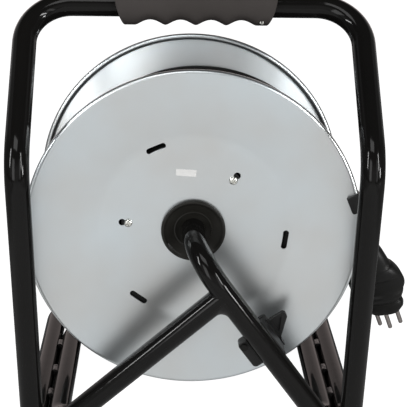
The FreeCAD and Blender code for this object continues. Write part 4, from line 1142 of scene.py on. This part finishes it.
# %% [markdown]
# ## Soft edges for the pieces that the CAD file made
#
# The brake, the socket side and the small turned parts keep their CAD shape. They only need
# the small rounding that a mould or a tumbling drum leaves.

# %% Soften the brake, the sockets and the fittings
softened("brake_saddle", "saddle_soft", "stand", 0.7)
softened("brake_lever", "lever_soft", "brake_lever", 0.5)
softened("socket_panel", "panel_soft", "drum", 0.5)
softened("knob_boss", "boss_soft", "drum", 0.7)
for k in range(1, 5):
    softened("socket_insert_%d" % k, "insert_soft_%d" % k, "drum", 0.35)
    softened("socket_lid_%d" % k, "lid_soft_%d" % k, "socket_lid_%d" % k, 0.5)

# %% [markdown]
# ## The floor, the sky and the lamps
#
# The photograph is a cut-out on white, lit like a product shot. The floor is white to the
# camera and keeps the reel's shadow: its colour is lit as usual, and a plain white glow is
# added for camera rays, so the shadow is pale. Metal and gloss see half of that glow, and
# only on the table in front of the reel: the room round the table is darker.

# %% Helpers for the floor's and the sky's nodes


def eased(value, start, stop):
    """A smooth step of a value: 0 at start, 1 at stop."""
    node = nodes.new("ShaderNodeMapRange")
    node.interpolation_type = "SMOOTHSTEP"
    node.inputs["From Min"].default_value = start
    node.inputs["From Max"].default_value = stop
    links.new(value, node.inputs["Value"])
    return node.outputs["Result"]


def mixed(share, first, second):
    """A mix of two shaders: the second one where share is 1."""
    node = nodes.new("ShaderNodeMixShader")
    for socket, out in zip(node.inputs, (share, first, second)):
        links.new(out, socket)
    return node.outputs["Shader"]


print("node helpers ready")

# %% The floor
floor_half, floor_tone = 3.0, 0.35
bm = bmesh.new()
bmesh.ops.create_grid(bm, x_segments=1, y_segments=1, size=floor_half)
floor = placed("floor", mesh_of(bm, "floor"))
pale = bpy.data.materials.new("pale_floor")
pale.use_nodes = True
floor.data.materials.append(pale)
print("floor", floor_half * 2, "m")

# %% The floor's colour and its glow
glow_in_gloss = 0.50
table_side, table_back = (0.42, 0.62), (-0.20, 0.05)       # where the table's glow ends, in metres
nodes, links = pale.node_tree.nodes, pale.node_tree.links
lit = nodes["Principled BSDF"]
lit.inputs["Base Color"].default_value = (floor_tone, floor_tone, floor_tone, 1)
lit.inputs["Roughness"].default_value = 0.9
lit.inputs["Specular IOR Level"].default_value = 0.0
white_glow = nodes.new("ShaderNodeEmission")
white_glow.inputs["Strength"].default_value = 1.0
both = nodes.new("ShaderNodeAddShader")
links.new(lit.outputs["BSDF"], both.inputs[0])
links.new(white_glow.outputs["Emission"], both.inputs[1])

seen = nodes.new("ShaderNodeLightPath")
white_for = combined("MAXIMUM", seen.outputs["Is Camera Ray"], seen.outputs["Is Transmission Ray"])
place = nodes.new("ShaderNodeSeparateXYZ")
links.new(nodes.new("ShaderNodeTexCoord").outputs["Object"], place.inputs["Vector"])
off_middle = combined("ABSOLUTE", place.outputs["X"])
table = seen.outputs["Is Glossy Ray"]
for across, (start, stop) in ((off_middle, table_side), (place.outputs["Y"], table_back)):
    table = combined("MULTIPLY", table, combined("SUBTRACT", 1.0, eased(across, start, stop)))
glow_share = combined("MULTIPLY_ADD", table, glow_in_gloss, white_for)
floor_look = mixed(glow_share, lit.outputs["BSDF"], both.outputs["Shader"])
links.new(floor_look, nodes["Material Output"].inputs["Surface"])
print("glow in gloss", glow_in_gloss)

# %% [markdown]
# The room round a product table is white behind the object, and dark at the sides and
# above the photographer. Gloss black shows exactly that: its tubes are dark, with thin
# white lines. The sky has three looks: white to the camera, the room to glossy rays, and
# an even, lower level that fills the shadows. The wall behind the reel is a little warm.

# %% The room, as glossy rays see it
world = bpy.data.worlds.new("studio")
world.use_nodes = True
bpy.context.scene.world = world
nodes, links = world.node_tree.nodes, world.node_tree.links
room_level, wall_level, dark_share, side_share = 0.57, 1.15, 0.93, 0.8
wall_tone = (1.0, 0.86, 0.83, 1)
direction = nodes.new("ShaderNodeSeparateXYZ")
links.new(nodes.new("ShaderNodeTexCoord").outputs["Generated"], direction.inputs["Vector"])
sideways, back, height = (direction.outputs[axis] for axis in "XYZ")

front = eased(combined("MULTIPLY", back, -1.0), -0.25, 0.25)
dark_front = combined("MULTIPLY", eased(height, 0.15, 0.50), front)
ceiling = eased(height, 0.48, 0.70)
dark_sides = combined("MULTIPLY", eased(combined("ABSOLUTE", sideways), 0.72, 0.92), side_share)
darkest = combined("MAXIMUM", combined("MAXIMUM", dark_front, ceiling), dark_sides)
lightness = combined("SUBTRACT", 1.0, combined("MULTIPLY", darkest, dark_share))
wall = eased(back, 0.70, 0.86)
level = combined("MULTIPLY_ADD", wall, wall_level - room_level, room_level)
room_color = nodes.new("ShaderNodeMix")
room_color.data_type = "RGBA"
room_color.blend_type = "MULTIPLY"
links.new(wall, room_color.inputs["Factor"])
links.new(combined("MULTIPLY", lightness, level), room_color.inputs["A"])
room_color.inputs["B"].default_value = wall_tone
print("room", room_level, "wall", wall_level)

# %% The sky's three looks
fill_level = 0.15
seen = nodes.new("ShaderNodeLightPath")
white_for = combined("MAXIMUM", seen.outputs["Is Camera Ray"], seen.outputs["Is Transmission Ray"])
fill, room, white = nodes["Background"], *(nodes.new("ShaderNodeBackground") for k in range(2))
fill.inputs["Color"].default_value = (fill_level, fill_level, fill_level, 1)
links.new(room_color.outputs["Result"], room.inputs["Color"])
white.inputs["Color"].default_value = (1, 1, 1, 1)
look = fill.outputs["Background"]
for share, background in ((seen.outputs["Is Glossy Ray"], room), (white_for, white)):
    look = mixed(share, look, background.outputs["Background"])
links.new(look, nodes["World Output"].inputs["Surface"])
print("sky's fill", fill_level)

# %% [markdown]
# Two broad panels beside the camera light the flanges. Long white lines run down the black
# tubes in the photograph: a narrow strip at each side of the camera gives the lines of the
# legs, and a low strip at the right gives the long line of the main strut. A wide lamp
# high in front lights the tops of the grip, the knees and the rims.

# %% The lamps


def soft_box(name, azimuth, height, distance, wide, tall, watts):
    """An area lamp that looks at the middle of the reel. azimuth 0 is the camera's side."""
    lamp = bpy.data.lights.new(name, "AREA")
    lamp.shape = "RECTANGLE"
    lamp.size = wide
    lamp.size_y = tall
    lamp.energy = watts
    box = placed(name, lamp)
    turn = math.radians(azimuth)
    box.location = (distance * math.sin(turn), -distance * math.cos(turn), height)
    aim = Vector((0, 0, axle_height * mm)) - box.location
    box.rotation_euler = aim.to_track_quat("-Z", "Y").to_euler()


# Each lamp has its azimuth, height, distance, width, tallness and watts
lamps = {
    "left_panel": (-26, 0.50, 1.5, 0.50, 0.85, 5.0),
    "right_panel": (30, 0.50, 1.5, 0.20, 0.85, 1.4),
    "left_strip": (-56, 0.77, 1.5, 0.12, 0.65, 9.0),
    "right_strip": (44, 0.77, 1.5, 0.12, 0.65, 9.0),
    "low_strip": (57, 0.30, 1.5, 0.13, 0.27, 6.5),
    "top_box": (-14, 1.45, 1.0, 0.85, 0.50, 6.0),
}
for name, sizes in lamps.items():
    soft_box(name, *sizes)
print("lamps", len(lamps))

# %% [markdown]
# ## The end
#
# The visual model has to stay in the CAD model's box. The view transform is Standard, at
# which a colour renders as it is written.

# %% Set the view transform
bpy.context.scene.view_settings.view_transform = "Standard"
